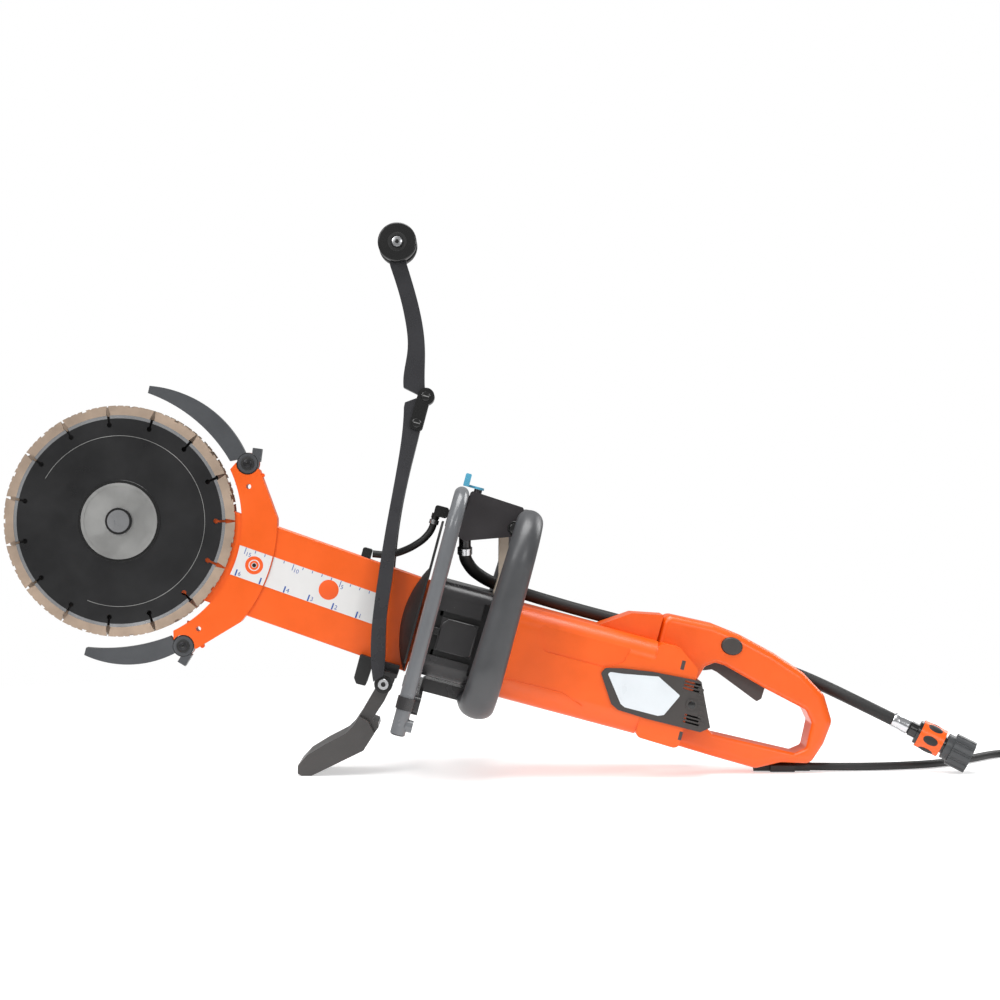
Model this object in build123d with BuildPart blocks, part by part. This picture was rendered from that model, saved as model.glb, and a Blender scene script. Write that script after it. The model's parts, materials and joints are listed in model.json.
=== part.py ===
from build123d import *
import math
import os

os.makedirs("parts", exist_ok=True)

# Electric twin-blade concrete cut-off saw. It stands as it rests on a floor: on its front foot and on
# the cable gland under the rear handle. X runs to the rear handle, Z is up, and the left side faces -Y.
# All sizes are in millimetres.

# ---------------------------------------------------------------- driving dimensions
# resting pose
HUB_X = -296.32  # blade centre
HUB_Z = 250.0
ARM_TILT = 19.4  # how far the blade arm slopes down to the rear
BODY_TILT = 15.0  # how far the motor axis slopes down to the rear
DRIVE_CENTRES = 328.0  # blade spindle to drive shaft

# blades
BLADE_D = 230.0
BLADE_CORE_D = BLADE_D - 19.0
BLADE_CORE_T = 2.0
SEGMENT_T = 2.8
BLADE_SLOTS = 15
SLOT_W = 2.2
KEYHOLE_R = 2.5
SLOT_DEPTH = 9.5
BLADE_GAP = 1.2  # between the arm's face and a blade
FAR_BLADE_TURN = 9.0  # the far blade is clamped this many degrees round
FLANGE_D = 76.0
FLANGE_T = 3.2
SPINDLE_R = 9.0
BOLT_HEAD_R = 11.0

# arm and belt
ARM_T = 14.0
ARM_W = 94.0
ARM_WALL = 2.75
ARM_SHOULDER = 318.0  # where the full width of the arm ends, from the blade centre
TONGUE_R = 22.5  # half width of the arm's end inside the gear housing
DRIVEN_PULLEY_R = 20.0
DRIVE_PULLEY_R = 16.0
BELT_T = 2.6
BELT_W = 7.0
BELT_CLEARANCE = 1.4
RUNNING = 0.05  # radial clearance of a shaft in its bore
GAP = 0.3  # clearance between pieces that move past each other
SEAT = 0.1  # clearance of a piece that drops into a pocket

# blade guards
GUARD_T = 18.0
GUARD_INNER_R = BLADE_D / 2 + 6.5
GUARD_OUTER_R = GUARD_INNER_R + 35.5
GUARD_HOLE_R = 2.5
GUARD_HOLE_PCR = GUARD_INNER_R + 11.5  # the two holes lie on this radius about the blade centre
GUARD_HOLE_ANGLE = 34.4  # and this far either side of the arm's centre line
GUARD_ARM_OUTER_R = GUARD_INNER_R + 20.5
GUARD_ARM_INNER_R = GUARD_INNER_R + 3.5
GUARD_TIP_R = GUARD_INNER_R + 12.5
GUARD_PIVOT_R = GUARD_INNER_R + 18.2
GUARD_PIVOT_ANGLE = 43.7
GUARD_PIN_R = 4.0

# gear housing and motor
GEARBOX_FRONT = -2.0
GEARBOX_REAR = 52.0
GEARBOX_TOP = 53.0
GEARBOX_BOTTOM = -42.0
GEARBOX_W = 100.0
GEARBOX_CORNER_R = 15.0
GEAR_BULGE_R = 39.0
BEARING_FLANGE_T = 5.0
BEVEL_R = 33.0
PINION_R = 11.0
BEVEL_TEETH = 36
PINION_TEETH = 12
SHAFT_R = 6.0
MOTOR_W = 104.0
MOTOR_TOP = 49.3
MOTOR_BOTTOM = -44.4
MOTOR_END = 219.0
MOTOR_WALL = 3.0
RIDGE_W = 44.0
RIDGE_TOP = 77.0
ROTOR_R = 24.0
ROTOR_FRONT = 104.0
ROTOR_REAR = 162.0
AIR_GAP = 0.8
STATOR_R = 41.0
FAN_R = 38.0

# rear handle
BLOCK_W = 104.0
BLOCK_REAR = 263.0
LOOP_W = 42.0
HANDLE_WALL = 3.0
LOOP_FILLET = 8.0
OPENING_FILLET = 4.0
TRIGGER_W = 14.0
BUTTON_RX = 10.5
BUTTON_RZ = 8.5

# hoops and valve block
GUARD_HOOP_D = 14.5
GUARD_HOOP_X = -5.0
GUARD_HOOP_HALF = 108.0
GUARD_HOOP_TOP = 139.2
GUARD_HOOP_FOOT = -96.0
GRIP_D = 23.5
GRIP_FOOT_D = 37.0  # its depth fore and aft at the bottom, where the hoop is stoutest
GRIP_CORNER_R = 44.0
GRIP_X = 67.0
GRIP_HALF = 104.0
GRIP_TOP = 130.0
GRIP_BOTTOM = -56.4
VALVE_W = 70.0

# wall guide and foot
RAIL_SPREAD = 50.0  # half width over the rails at the bottom
RAIL_TOP_HALF = 10.0  # half width at the top
RAIL_W = 12.0
GUIDE_PIVOT = (-64.5, 224.0)
STRAP_BOLT = (-66.5, 196.0)  # the hinge strap's second bolt
HINGE_PIN_R = 2.5
HUB_R = 8.5
WHEEL_R = 19.3
WHEEL_T = 11.0
WHEEL_CENTRE = (-131.4, 364.0)
FOOT_PIVOT = (-31.0, -61.2)
FOOT_W = 70.0
FOOT_NECK_W = 55.0
PIN_R = 4.0

# hoses and lead
GLAND_FRONT = 336.0
GLAND_REAR = 392.0
GLAND_R = 4.95
GLAND_AXIS_Z = 5.0
REAR_HOSE_D = 12.5
FRONT_HOSE_D = 7.2
CABLE_D = 8.0
CONNECTOR_TILT = 26.0
CONNECTOR_SWING = 12.0


# ---------------------------------------------------------------- planes and shared shapes
def side_plane(x, z, tilt):
    """A plane for side views: x runs to the rear along the axis, y is up, and the normal is to the left."""
    a = math.radians(tilt)
    return Plane(origin=(x, 0, z), x_dir=(math.cos(a), 0, -math.sin(a)), z_dir=(0, -1, 0))


def across(base, x, z=0.0):
    """A plane square to the axis at x: x runs to the right, y is up, and the normal is to the rear."""
    origin = base.from_local_coords(Vector(x, z, 0))
    return Plane(origin=origin, x_dir=(0, 1, 0), z_dir=base.x_dir)


def polar(radius, angle):
    """A point at this radius and angle."""
    return (radius * math.cos(math.radians(angle)), radius * math.sin(math.radians(angle)))


ARM = side_plane(HUB_X, HUB_Z, ARM_TILT)
DRIVE_POINT = ARM.from_local_coords(Vector(DRIVE_CENTRES, 0, 0))
BODY = side_plane(DRIVE_POINT.X, DRIVE_POINT.Z, BODY_TILT)


def outline(base, points, radius=0.0, inset=0.0):
    """A closed face through the points, with its corners rounded, drawn inwards by the inset."""
    with BuildSketch(base) as face:
        with BuildLine():
            if radius:
                FilletPolyline(*points, radius=radius, close=True)
            else:
                Polyline(*points, close=True)
        make_face()
        if inset:
            offset(amount=-inset)
    return face.sketch


def disc(base, x, z, radius, inner=0.0):
    """A round face, or a ring where inner is given."""
    with BuildSketch(base) as face:
        with Locations((x, z)):
            Circle(radius)
            if inner:
                Circle(inner, mode=Mode.SUBTRACT)
    return face.sketch


def block(base, x0, x1, z0, z1, radius=0.0):
    """A rectangular face between two corners, with rounded corners where a radius is given."""
    with BuildSketch(base) as face:
        with Locations(((x0 + x1) / 2, (z0 + z1) / 2)):
            if radius:
                RectangleRounded(x1 - x0, z1 - z0, radius)
            else:
                Rectangle(x1 - x0, z1 - z0)
    return face.sketch


def belt_line(base, grow):
    """The face inside a belt around both pulleys, grown outwards."""
    with BuildSketch(base) as face:
        Circle(DRIVEN_PULLEY_R + grow)
        with Locations((DRIVE_CENTRES, 0)):
            Circle(DRIVE_PULLEY_R + grow)
        make_hull()
    return face.sketch


def bend_radii(points):
    """The largest tangent arc at each corner of a route."""
    radii = []
    for before, corner, after in zip(points, points[1:], points[2:]):
        run_in = Vector(*corner) - Vector(*before)
        run_out = Vector(*after) - Vector(*corner)
        half_turn = math.radians(run_in.get_angle(run_out) / 2)
        radii.append(0.45 * min(run_in.length, run_out.length) / math.tan(half_turn))
    return radii


def tube_along(points, diameter, name):
    """A round tube along straight runs joined by tangent arcs."""
    radii = bend_radii(points)
    with BuildPart() as tube:
        with BuildLine() as path:
            FilletPolyline(*points, radius=radii)
        with BuildSketch(Plane(origin=points[0], z_dir=path.line % 0)):
            Circle(diameter / 2)
        sweep(path=path.line)
    section = math.pi * diameter**2 / 4
    length = path.wire().length
    print(name, "length", round(length, 1), "radii", [round(r, 1) for r in radii],
          "volume ratio", round(tube.part.volume / (section * length), 4))
    return tube.part


# ---------------------------------------------------------------- arm, belt and guard plate
ARM_HALF = ARM_T / 2
CAVITY_HALF = ARM_HALF - ARM_WALL


def arm_face(base, grow=0.0):
    """The arm's side outline: round about the blade, full width, then the narrow tongue."""
    with BuildSketch(base) as face:
        Circle(ARM_W / 2 + grow)
        with Locations(((ARM_SHOULDER + grow) / 2, 0)):
            Rectangle(ARM_SHOULDER + grow, ARM_W + 2 * grow)
        with Locations((DRIVE_CENTRES, 0)):
            Circle(TONGUE_R + grow)
        with Locations(((ARM_SHOULDER + DRIVE_CENTRES) / 2, 0)):
            Rectangle(DRIVE_CENTRES - ARM_SHOULDER, 2 * (TONGUE_R + grow))
    return face.sketch


BEARING_R = 14.5
DRIVE_BEARING_R = 11.0
with BuildPart() as arm_housing:
    extrude(arm_face(ARM.offset(-ARM_HALF)), amount=ARM_T - ARM_WALL)
    extrude(belt_line(ARM.offset(-CAVITY_HALF), BELT_T + BELT_CLEARANCE), amount=ARM_T, mode=Mode.SUBTRACT)
    extrude(disc(ARM.offset(-ARM_HALF), 0, 0, BEARING_R), amount=ARM_T, mode=Mode.SUBTRACT)
    extrude(disc(ARM.offset(-ARM_HALF), DRIVE_CENTRES, 0, DRIVE_BEARING_R), amount=ARM_T, mode=Mode.SUBTRACT)

with BuildPart() as arm_cover:
    extrude(arm_face(ARM.offset(CAVITY_HALF)), amount=ARM_WALL)
    extrude(disc(ARM.offset(CAVITY_HALF), 0, 0, BEARING_R), amount=ARM_WALL, mode=Mode.SUBTRACT)
    extrude(disc(ARM.offset(CAVITY_HALF), DRIVE_CENTRES, 0, DRIVE_BEARING_R), amount=ARM_WALL,
            mode=Mode.SUBTRACT)
    chamfer(arm_cover.faces().sort_by(Axis.Y)[0].outer_wire().edges(), 1.0)

BEARING_INNER_R = SPINDLE_R + RUNNING
SHAFT_BORE_R = SHAFT_R + RUNNING
with BuildPart() as drive_belt:
    extrude(belt_line(ARM.offset(-BELT_W / 2), BELT_T + GAP), amount=BELT_W)
    extrude(belt_line(ARM.offset(-BELT_W / 2), GAP), amount=BELT_W, mode=Mode.SUBTRACT)


def guard_face(base):
    """The crescent plate's side outline about the blade centre."""
    tip_in = polar(GUARD_INNER_R, 44.5)
    tip_out = polar(GUARD_INNER_R + 13.5, 47)
    shoulder = polar(GUARD_INNER_R + 26.9, 39.5)
    root = polar(GUARD_OUTER_R, 20.4)
    lower = [(x, -z) for x, z in (root, shoulder, tip_out, tip_in)]
    with BuildSketch(base) as face:
        with BuildLine():
            Polyline(tip_in, tip_out, shoulder, root)
            ThreePointArc(root, (GUARD_OUTER_R, 0), lower[0])
            Polyline(*lower)
            ThreePointArc(lower[-1], (GUARD_INNER_R, 0), tip_in)
        make_face()
    return face.sketch


GUARD_HALF = GUARD_T / 2
CHEEK_T = 4.6  # the far lug that carries a guard's pivot pin
LUG_R = 11.0
PIVOTS = [polar(GUARD_PIVOT_R, GUARD_PIVOT_ANGLE), polar(GUARD_PIVOT_R, -GUARD_PIVOT_ANGLE)]
with BuildPart() as guard_plate:
    extrude(guard_face(ARM.offset(-GUARD_HALF)), amount=GUARD_T)
    for x, z in PIVOTS:
        extrude(disc(ARM.offset(-GUARD_HALF), x, z, LUG_R + GAP), amount=GUARD_T, mode=Mode.SUBTRACT)
        extrude(disc(ARM.offset(-GUARD_HALF), x, z, LUG_R), amount=CHEEK_T - GAP)
        extrude(outline(ARM.offset(-GUARD_HALF), [(x - 2, z), (x + 9, z - math.copysign(6, z)),
                                                  (x + 14, z - math.copysign(26, z)),
                                                  (x - 6, z - math.copysign(24, z))]), amount=CHEEK_T - GAP)
        extrude(disc(ARM.offset(-GUARD_HALF), x, z, GUARD_PIN_R), amount=GUARD_T - 1)
    extrude(arm_face(ARM.offset(-ARM_HALF), SEAT), amount=ARM_T, mode=Mode.SUBTRACT)
    for side in (1, -1):
        x, z = polar(GUARD_HOLE_PCR, side * GUARD_HOLE_ANGLE)
        extrude(disc(ARM.offset(-GUARD_HALF), x, z, GUARD_HOLE_R), amount=GUARD_T, mode=Mode.SUBTRACT)
        x, z = polar(GUARD_INNER_R + 27.5, side * 37.2)
        extrude(disc(ARM.offset(2), x, z, 2.2), amount=4)

LABEL_T = 0.4
LABEL_HALF = 15.3
LABEL_FRONT = 123.0
LABEL_REAR = 268.0
with BuildPart() as scale_label:
    with BuildSketch(ARM.offset(GUARD_HALF)):
        with Locations(((LABEL_FRONT + GUARD_OUTER_R) / 2, 2)):
            Rectangle(GUARD_OUTER_R - LABEL_FRONT + 20, 2 * LABEL_HALF)
        Circle(GUARD_OUTER_R - 0.6, mode=Mode.INTERSECT)
        Circle(GUARD_INNER_R + 0.6, mode=Mode.SUBTRACT)
    extrude(amount=LABEL_T)
    with BuildSketch(ARM.offset(ARM_HALF)):
        with Locations(((GUARD_OUTER_R + LABEL_REAR) / 2, 2)):
            Rectangle(LABEL_REAR - GUARD_OUTER_R + 6, 2 * LABEL_HALF)
        Circle(GUARD_OUTER_R + 0.6, mode=Mode.SUBTRACT)
    extrude(amount=LABEL_T)

# ---------------------------------------------------------------- blade spindle group
BLADE_IN = ARM_HALF + BLADE_GAP  # the inner face of a blade's core, from the centre plane
BLADE_OUT = BLADE_IN + BLADE_CORE_T
SLOT_STEP = 360 / BLADE_SLOTS
FLANGE_R = FLANGE_D / 2
BORE_R = SPINDLE_R + RUNNING


def blade_core(base, turn):
    """A steel blade centre with keyhole slots in its rim."""
    with BuildPart() as core:
        with BuildSketch(base):
            Circle(BLADE_CORE_D / 2)
            Circle(BORE_R, mode=Mode.SUBTRACT)
            with PolarLocations(BLADE_CORE_D / 2 - SLOT_DEPTH, BLADE_SLOTS, start_angle=turn):
                Circle(KEYHOLE_R, mode=Mode.SUBTRACT)
            with PolarLocations(BLADE_CORE_D / 2 - SLOT_DEPTH / 2, BLADE_SLOTS, start_angle=turn):
                Rectangle(SLOT_DEPTH + 1, SLOT_W, mode=Mode.SUBTRACT)
        extrude(amount=BLADE_CORE_T)
    return core.part


def blade_segments_of(base, turn):
    """The diamond segments brazed round a blade's rim, each with a notch and a stepped edge."""
    with BuildPart() as ring:
        with BuildSketch(base):
            Circle(BLADE_D / 2)
            Circle(BLADE_CORE_D / 2, mode=Mode.SUBTRACT)
            with PolarLocations(BLADE_D / 2 - 3, BLADE_SLOTS, start_angle=turn):
                Trapezoid(5.2, 14.4, 80, rotation=-90, mode=Mode.SUBTRACT)
            with PolarLocations(BLADE_D / 2, BLADE_SLOTS, start_angle=turn + SLOT_STEP / 2):
                RegularPolygon(3.2, 3, mode=Mode.SUBTRACT)
            for step in (-7.2, -3.6, 3.6, 7.2):
                with PolarLocations(BLADE_D / 2 + 0.8, BLADE_SLOTS, start_angle=turn + SLOT_STEP / 2 + step):
                    Circle(1.5, mode=Mode.SUBTRACT)
        extrude(amount=SEGMENT_T)
    return ring.part


SEGMENT_SHIFT = (SEGMENT_T - BLADE_CORE_T) / 2
with BuildPart() as blade_near:
    add(blade_core(ARM.offset(BLADE_IN), ARM_TILT))
with BuildPart() as blade_far:
    add(blade_core(ARM.offset(-BLADE_OUT), ARM_TILT + FAR_BLADE_TURN))
with BuildPart() as blade_segments:
    add(blade_segments_of(ARM.offset(BLADE_IN - SEGMENT_SHIFT), ARM_TILT))
    add(blade_segments_of(ARM.offset(-BLADE_OUT - SEGMENT_SHIFT), ARM_TILT + FAR_BLADE_TURN))

with BuildPart() as blade_flanges:
    for side in (1, -1):
        with BuildSketch(ARM.offset(side * BLADE_OUT)):
            Circle(FLANGE_R)
            Circle(BORE_R, mode=Mode.SUBTRACT)
        extrude(amount=side * FLANGE_T)
        with BuildSketch(ARM.offset(side * (BLADE_OUT + FLANGE_T - 0.8))):
            Circle(FLANGE_R - 3)
            Circle(BOLT_HEAD_R + 3, mode=Mode.SUBTRACT)
        extrude(amount=side * 0.8, mode=Mode.SUBTRACT)

SPINDLE_END = BLADE_OUT + FLANGE_T
with BuildPart() as blade_spindle:
    extrude(disc(ARM.offset(-SPINDLE_END), 0, 0, SPINDLE_R), amount=2 * SPINDLE_END)
    for side in (1, -1):
        extrude(disc(ARM.offset(side * (ARM_HALF + GAP)), 0, 0, 16), amount=side * (BLADE_GAP - GAP))
    with BuildSketch(ARM.offset(-BELT_W / 2 - 0.4)):
        Circle(DRIVEN_PULLEY_R)
        with PolarLocations(DRIVEN_PULLEY_R, 30):
            Circle(0.9, mode=Mode.SUBTRACT)
    extrude(amount=BELT_W + 0.8)

with BuildPart() as flange_bolt:
    for side in (1, -1):
        extrude(disc(ARM.offset(side * SPINDLE_END), 0, 0, BOLT_HEAD_R + 2), amount=side * 1.6)
        extrude(disc(ARM.offset(side * (SPINDLE_END + 1.6)), 0, 0, BOLT_HEAD_R), amount=side * 2.2)
        with BuildSketch(ARM.offset(side * (SPINDLE_END + 3.8))):
            RegularPolygon(4.6, 6)
        extrude(amount=-side * 2.0, mode=Mode.SUBTRACT)

# ---------------------------------------------------------------- drive shaft, bevel gears and rotor
GEAR_FRONT = 8.0  # the gear's toothed face, from the centre plane, on the far side
GEAR_REAR = 21.0
SHAFT_END = 28.0
with BuildPart() as drive_shaft:
    extrude(disc(ARM.offset(-SHAFT_END), DRIVE_CENTRES, 0, SHAFT_R), amount=SHAFT_END + ARM_HALF)
    with BuildSketch(ARM.offset(-BELT_W / 2 - 0.4)):
        with Locations((DRIVE_CENTRES, 0)):
            Circle(DRIVE_PULLEY_R)
            with PolarLocations(DRIVE_PULLEY_R, 24):
                Circle(0.9, mode=Mode.SUBTRACT)
    extrude(amount=BELT_W + 0.8)

with BuildPart() as bevel_gear:
    with BuildSketch(Plane(origin=DRIVE_POINT, x_dir=BODY.x_dir, z_dir=BODY.x_dir.cross(Vector(0, 1, 0)))):
        with BuildLine():
            Polyline((SHAFT_R, GEAR_FRONT), (BEVEL_R - 9.5, GEAR_FRONT), (BEVEL_R, PINION_R + 0.4),
                     (BEVEL_R, GEAR_FRONT + 7), (16, GEAR_REAR), (SHAFT_R, GEAR_REAR), close=True)
        make_face()
    revolve(axis=Axis(DRIVE_POINT, (0, 1, 0)))
    with BuildSketch(BODY.offset(-GEAR_FRONT + 1)):
        with PolarLocations(BEVEL_R, BEVEL_TEETH):
            Rectangle(14, 2.2)
    extrude(amount=-(PINION_R - GEAR_FRONT + 2.2), mode=Mode.SUBTRACT)

ROTOR_SHAFT_FRONT = BEVEL_R - 9.0
ROTOR_SHAFT_REAR = 214.0
with BuildPart() as rotor_shaft:
    with BuildSketch(across(BODY, ROTOR_SHAFT_FRONT)):
        Circle(SHAFT_R)
    extrude(amount=ROTOR_SHAFT_REAR - ROTOR_SHAFT_FRONT)
    with BuildSketch(across(BODY, ROTOR_SHAFT_FRONT)):
        Circle(7.2)
        with PolarLocations(7.2, PINION_TEETH):
            Circle(0.9, mode=Mode.SUBTRACT)
    with BuildSketch(across(BODY, BEVEL_R - 0.6)):
        Circle(PINION_R - 1.0)
        with PolarLocations(PINION_R - 1.0, PINION_TEETH):
            Circle(1.3, mode=Mode.SUBTRACT)
    loft()

with BuildPart() as rotor_core:
    with BuildSketch(across(BODY, ROTOR_FRONT)):
        Circle(ROTOR_R)
        with PolarLocations(ROTOR_R, 16):
            Rectangle(5, 2.4, mode=Mode.SUBTRACT)
        Circle(SHAFT_R + 0.02, mode=Mode.SUBTRACT)
    extrude(amount=ROTOR_REAR - ROTOR_FRONT)
    with BuildSketch(across(BODY, ROTOR_REAR)):
        Circle(18)
        Circle(SHAFT_R + 0.02, mode=Mode.SUBTRACT)
    extrude(amount=10)
    with BuildSketch(across(BODY, ROTOR_REAR + 10)):
        Circle(14)
        with PolarLocations(14, 24):
            Rectangle(1.6, 0.8, mode=Mode.SUBTRACT)
        Circle(SHAFT_R + 0.02, mode=Mode.SUBTRACT)
    extrude(amount=18)

with BuildPart() as cooling_fan:
    with BuildSketch(across(BODY, 76)):
        Circle(FAN_R)
        Circle(SHAFT_R + 0.02, mode=Mode.SUBTRACT)
    extrude(amount=3)
    with BuildSketch(across(BODY, 79)):
        Circle(14)
        with PolarLocations(24, 11):
            Rectangle(24, 2, rotation=25)
        Circle(SHAFT_R + 0.02, mode=Mode.SUBTRACT)
    extrude(amount=12)

# ---------------------------------------------------------------- gear housing, flange and motor housing
FLANGE_FRONT = GEARBOX_REAR
FLANGE_REAR = FLANGE_FRONT + BEARING_FLANGE_T


def rounded_box(base, x0, x1, z0, z1, half, radius):
    """A bar along the axis with a rounded-rectangle section."""
    with BuildPart() as bar:
        with BuildSketch(across(base, x0, (z0 + z1) / 2)):
            RectangleRounded(2 * half, z1 - z0, radius)
        extrude(amount=x1 - x0)
    return bar.part


with BuildPart() as gear_housing:
    add(rounded_box(BODY, GEARBOX_FRONT, GEARBOX_REAR, GEARBOX_BOTTOM, GEARBOX_TOP, GEARBOX_W / 2,
                    GEARBOX_CORNER_R))
    extrude(disc(BODY.offset(-ARM_HALF - SEAT), 0, 0, GEAR_BULGE_R), amount=-(SHAFT_END + 5 - ARM_HALF))
    # raised panel with deep grooves above and below it, on both sides
    for side in (1, -1):
        for low in (-20.0, 19.0):
            extrude(block(BODY.offset(side * (GEARBOX_W / 2 - 5)), 5, GEARBOX_REAR, low, low + 5.5),
                    amount=side * 6, mode=Mode.SUBTRACT)
        extrude(block(BODY.offset(side * (GEARBOX_W / 2 - 5)), 3, 8, -20, 24.5),
                amount=side * 6, mode=Mode.SUBTRACT)
        extrude(block(BODY.offset(side * (GEARBOX_W / 2 - 5)), GEARBOX_REAR - 7, GEARBOX_REAR - 1, -31, 41),
                amount=side * 6, mode=Mode.SUBTRACT)
    # arm tongue, drive shaft, bevel gear and pinion spaces
    extrude(arm_face(ARM.offset(-ARM_HALF - SEAT), SEAT), amount=ARM_T + 2 * SEAT, mode=Mode.SUBTRACT)
    extrude(disc(BODY.offset(-ARM_HALF), 0, 0, BEVEL_R + 1.5), amount=-(GEAR_REAR + 1 - ARM_HALF),
            mode=Mode.SUBTRACT)
    extrude(disc(BODY.offset(-GEAR_REAR), 0, 0, DRIVE_BEARING_R), amount=-8, mode=Mode.SUBTRACT)
    with BuildSketch(across(BODY, ROTOR_SHAFT_FRONT - 1)):
        Circle(PINION_R + 2)
    extrude(amount=GEARBOX_REAR, mode=Mode.SUBTRACT)

with BuildPart() as bearing_flange:
    add(rounded_box(BODY, FLANGE_FRONT, FLANGE_REAR, GEARBOX_BOTTOM - 2, GEARBOX_TOP - 1,
                    GEARBOX_W / 2 + 1.5, GEARBOX_CORNER_R))
    with BuildSketch(across(BODY, FLANGE_REAR)):
        Circle(19)
    extrude(amount=7)
    with BuildSketch(across(BODY, FLANGE_FRONT - 1)):
        Circle(13)
    extrude(amount=20, mode=Mode.SUBTRACT)

with BuildPart() as ball_bearings:
    for side in (1, -1):
        extrude(disc(ARM.offset(side * CAVITY_HALF), 0, 0, BEARING_R, BEARING_INNER_R),
                amount=side * ARM_WALL)
    extrude(disc(ARM.offset(CAVITY_HALF), DRIVE_CENTRES, 0, DRIVE_BEARING_R, SHAFT_BORE_R), amount=ARM_WALL)
    extrude(disc(BODY.offset(-GEAR_REAR - 1), 0, 0, DRIVE_BEARING_R, SHAFT_BORE_R), amount=-7)
    with BuildSketch(across(BODY, FLANGE_FRONT + 1)):
        Circle(13)
        Circle(SHAFT_BORE_R, mode=Mode.SUBTRACT)
    extrude(amount=10)
    with BuildSketch(across(BODY, 200)):
        Circle(13)
        Circle(SHAFT_BORE_R, mode=Mode.SUBTRACT)
    extrude(amount=10)

RIDGE_RAMP = [(150, 40), (161, MOTOR_TOP + 1), (188.4, 69.2), (223.1, 76.1), (MOTOR_END + 30, RIDGE_TOP),
              (MOTOR_END + 30, 40)]
with BuildPart() as motor_housing:
    add(rounded_box(BODY, FLANGE_REAR, MOTOR_END, MOTOR_BOTTOM, MOTOR_TOP, MOTOR_W / 2, 20))
    extrude(outline(BODY, RIDGE_RAMP), amount=RIDGE_W / 2, both=True)
    split(bisect_by=across(BODY, MOTOR_END), keep=Keep.BOTTOM)
    for side in (1, -1):
        # long recessed panel along the upper flank
        extrude(outline(BODY.offset(side * (MOTOR_W / 2 - 1.2)),
                        [(101, 36), (164, 36), (180, 46), (196, 44), (190, 22), (175, 12), (112, 12)], 4),
                amount=side * 4, mode=Mode.SUBTRACT)
    add(rounded_box(BODY, FLANGE_REAR - 1, MOTOR_END + 1, MOTOR_BOTTOM + MOTOR_WALL, MOTOR_TOP - MOTOR_WALL,
                    MOTOR_W / 2 - MOTOR_WALL, 17), mode=Mode.SUBTRACT)

with BuildPart() as stator:
    with BuildSketch(across(BODY, ROTOR_FRONT - 2)):
        Circle(STATOR_R)
        Circle(ROTOR_R + AIR_GAP, mode=Mode.SUBTRACT)
    extrude(amount=ROTOR_REAR - ROTOR_FRONT + 4)
    for side in (1, -1):
        with BuildSketch(across(BODY, ROTOR_FRONT - 12)):
            with Locations((0, side * 32)):
                RectangleRounded(44, 12, 4)
        extrude(amount=ROTOR_REAR - ROTOR_FRONT + 24)

BRUSH_X = ROTOR_REAR + 14
with BuildPart() as brush_carrier:
    with BuildSketch(across(BODY, 197)):
        with Locations((0, 2)):
            RectangleRounded(96, 84, 17)
        Circle(13, mode=Mode.SUBTRACT)
    extrude(amount=4)
    with BuildSketch(across(BODY, 201)):
        Circle(17)
        Circle(13, mode=Mode.SUBTRACT)
    extrude(amount=9)
    for side in (1, -1):
        with BuildSketch(BODY.offset(side * 14.4)):
            with Locations((BRUSH_X + 4, 0)):
                Rectangle(10, 12)
        extrude(amount=side * 22)
        with BuildSketch(BODY.offset(side * 20)):
            with Locations((BRUSH_X + 12, 0)):
                Rectangle(20, 8)
        extrude(amount=side * 10)

# ---------------------------------------------------------------- rear handle
LOOP_OUTER = [(MOTOR_END, RIDGE_TOP), (269.7, 79.2), (300, 75.4), (335, 67), (368, 56), (394, 40),
              (408.6, 16), (406, -7.2), (398.5, -29.5), (370, -36), (347, -48.2), (303.7, -47.7), (MOTOR_END, -45.2)]
LOOP_OPENING = [(268, 22), (272, 36.5), (281, 43), (291, 42.5), (337, 30.5), (379.7, 20.9), (388.5, 10),
                (389.5, -15.8), (380, -23.2), (296.8, -26.1), (287, -20)]
BLOCK_SIDE = [(MOTOR_END, MOTOR_TOP), (240, MOTOR_TOP), (262, 34), (BLOCK_REAR, -46.5), (MOTOR_END, -45.2)]
LOOP_HALF = LOOP_W / 2
BLOCK_HALF = BLOCK_W / 2


def handle_body(inset):
    """Both halves of the handle as one solid, drawn inwards by the inset."""
    with BuildPart() as whole:
        extrude(outline(BODY, LOOP_OUTER, 10, inset), amount=LOOP_HALF - inset, both=True)
        fillet(whole.faces().filter_by(Axis.Y).edges(), LOOP_FILLET - inset)
        extrude(outline(BODY, LOOP_OPENING, 4, -inset), amount=LOOP_HALF, both=True, mode=Mode.SUBTRACT)
        if inset == 0:
            rims = [face.inner_wires() for face in whole.faces().filter_by(Axis.Y)]
            fillet([edge for wires in rims for wire in wires for edge in wire.edges()], OPENING_FILLET)
        extrude(outline(BODY, BLOCK_SIDE, 6, inset), amount=BLOCK_HALF - inset, both=True)
    return whole.part


PANEL_OUTLINE = [(171, 6), (174, 12), (190.3, 15.9), (219.5, 20.2), (249.1, 22.3), (267.5, 23.4),
                 (287.5, -17.9), (279, -24.6), (224.7, -25.5), (196, -24.3), (188.5, -20.6)]
PLATE_OUTLINE = [(177.7, 7), (179.5, 9.5), (192, 11), (226, 17.3), (229.5, 15.5), (251, 4.8), (240.5, -17.5),
                 (234.9, -19.8), (201.7, -20.1), (197.2, -18)]
GRILLE_X = BLOCK_REAR + 0.5
PLATE_FACE = MOTOR_W / 2 + 0.8


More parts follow.
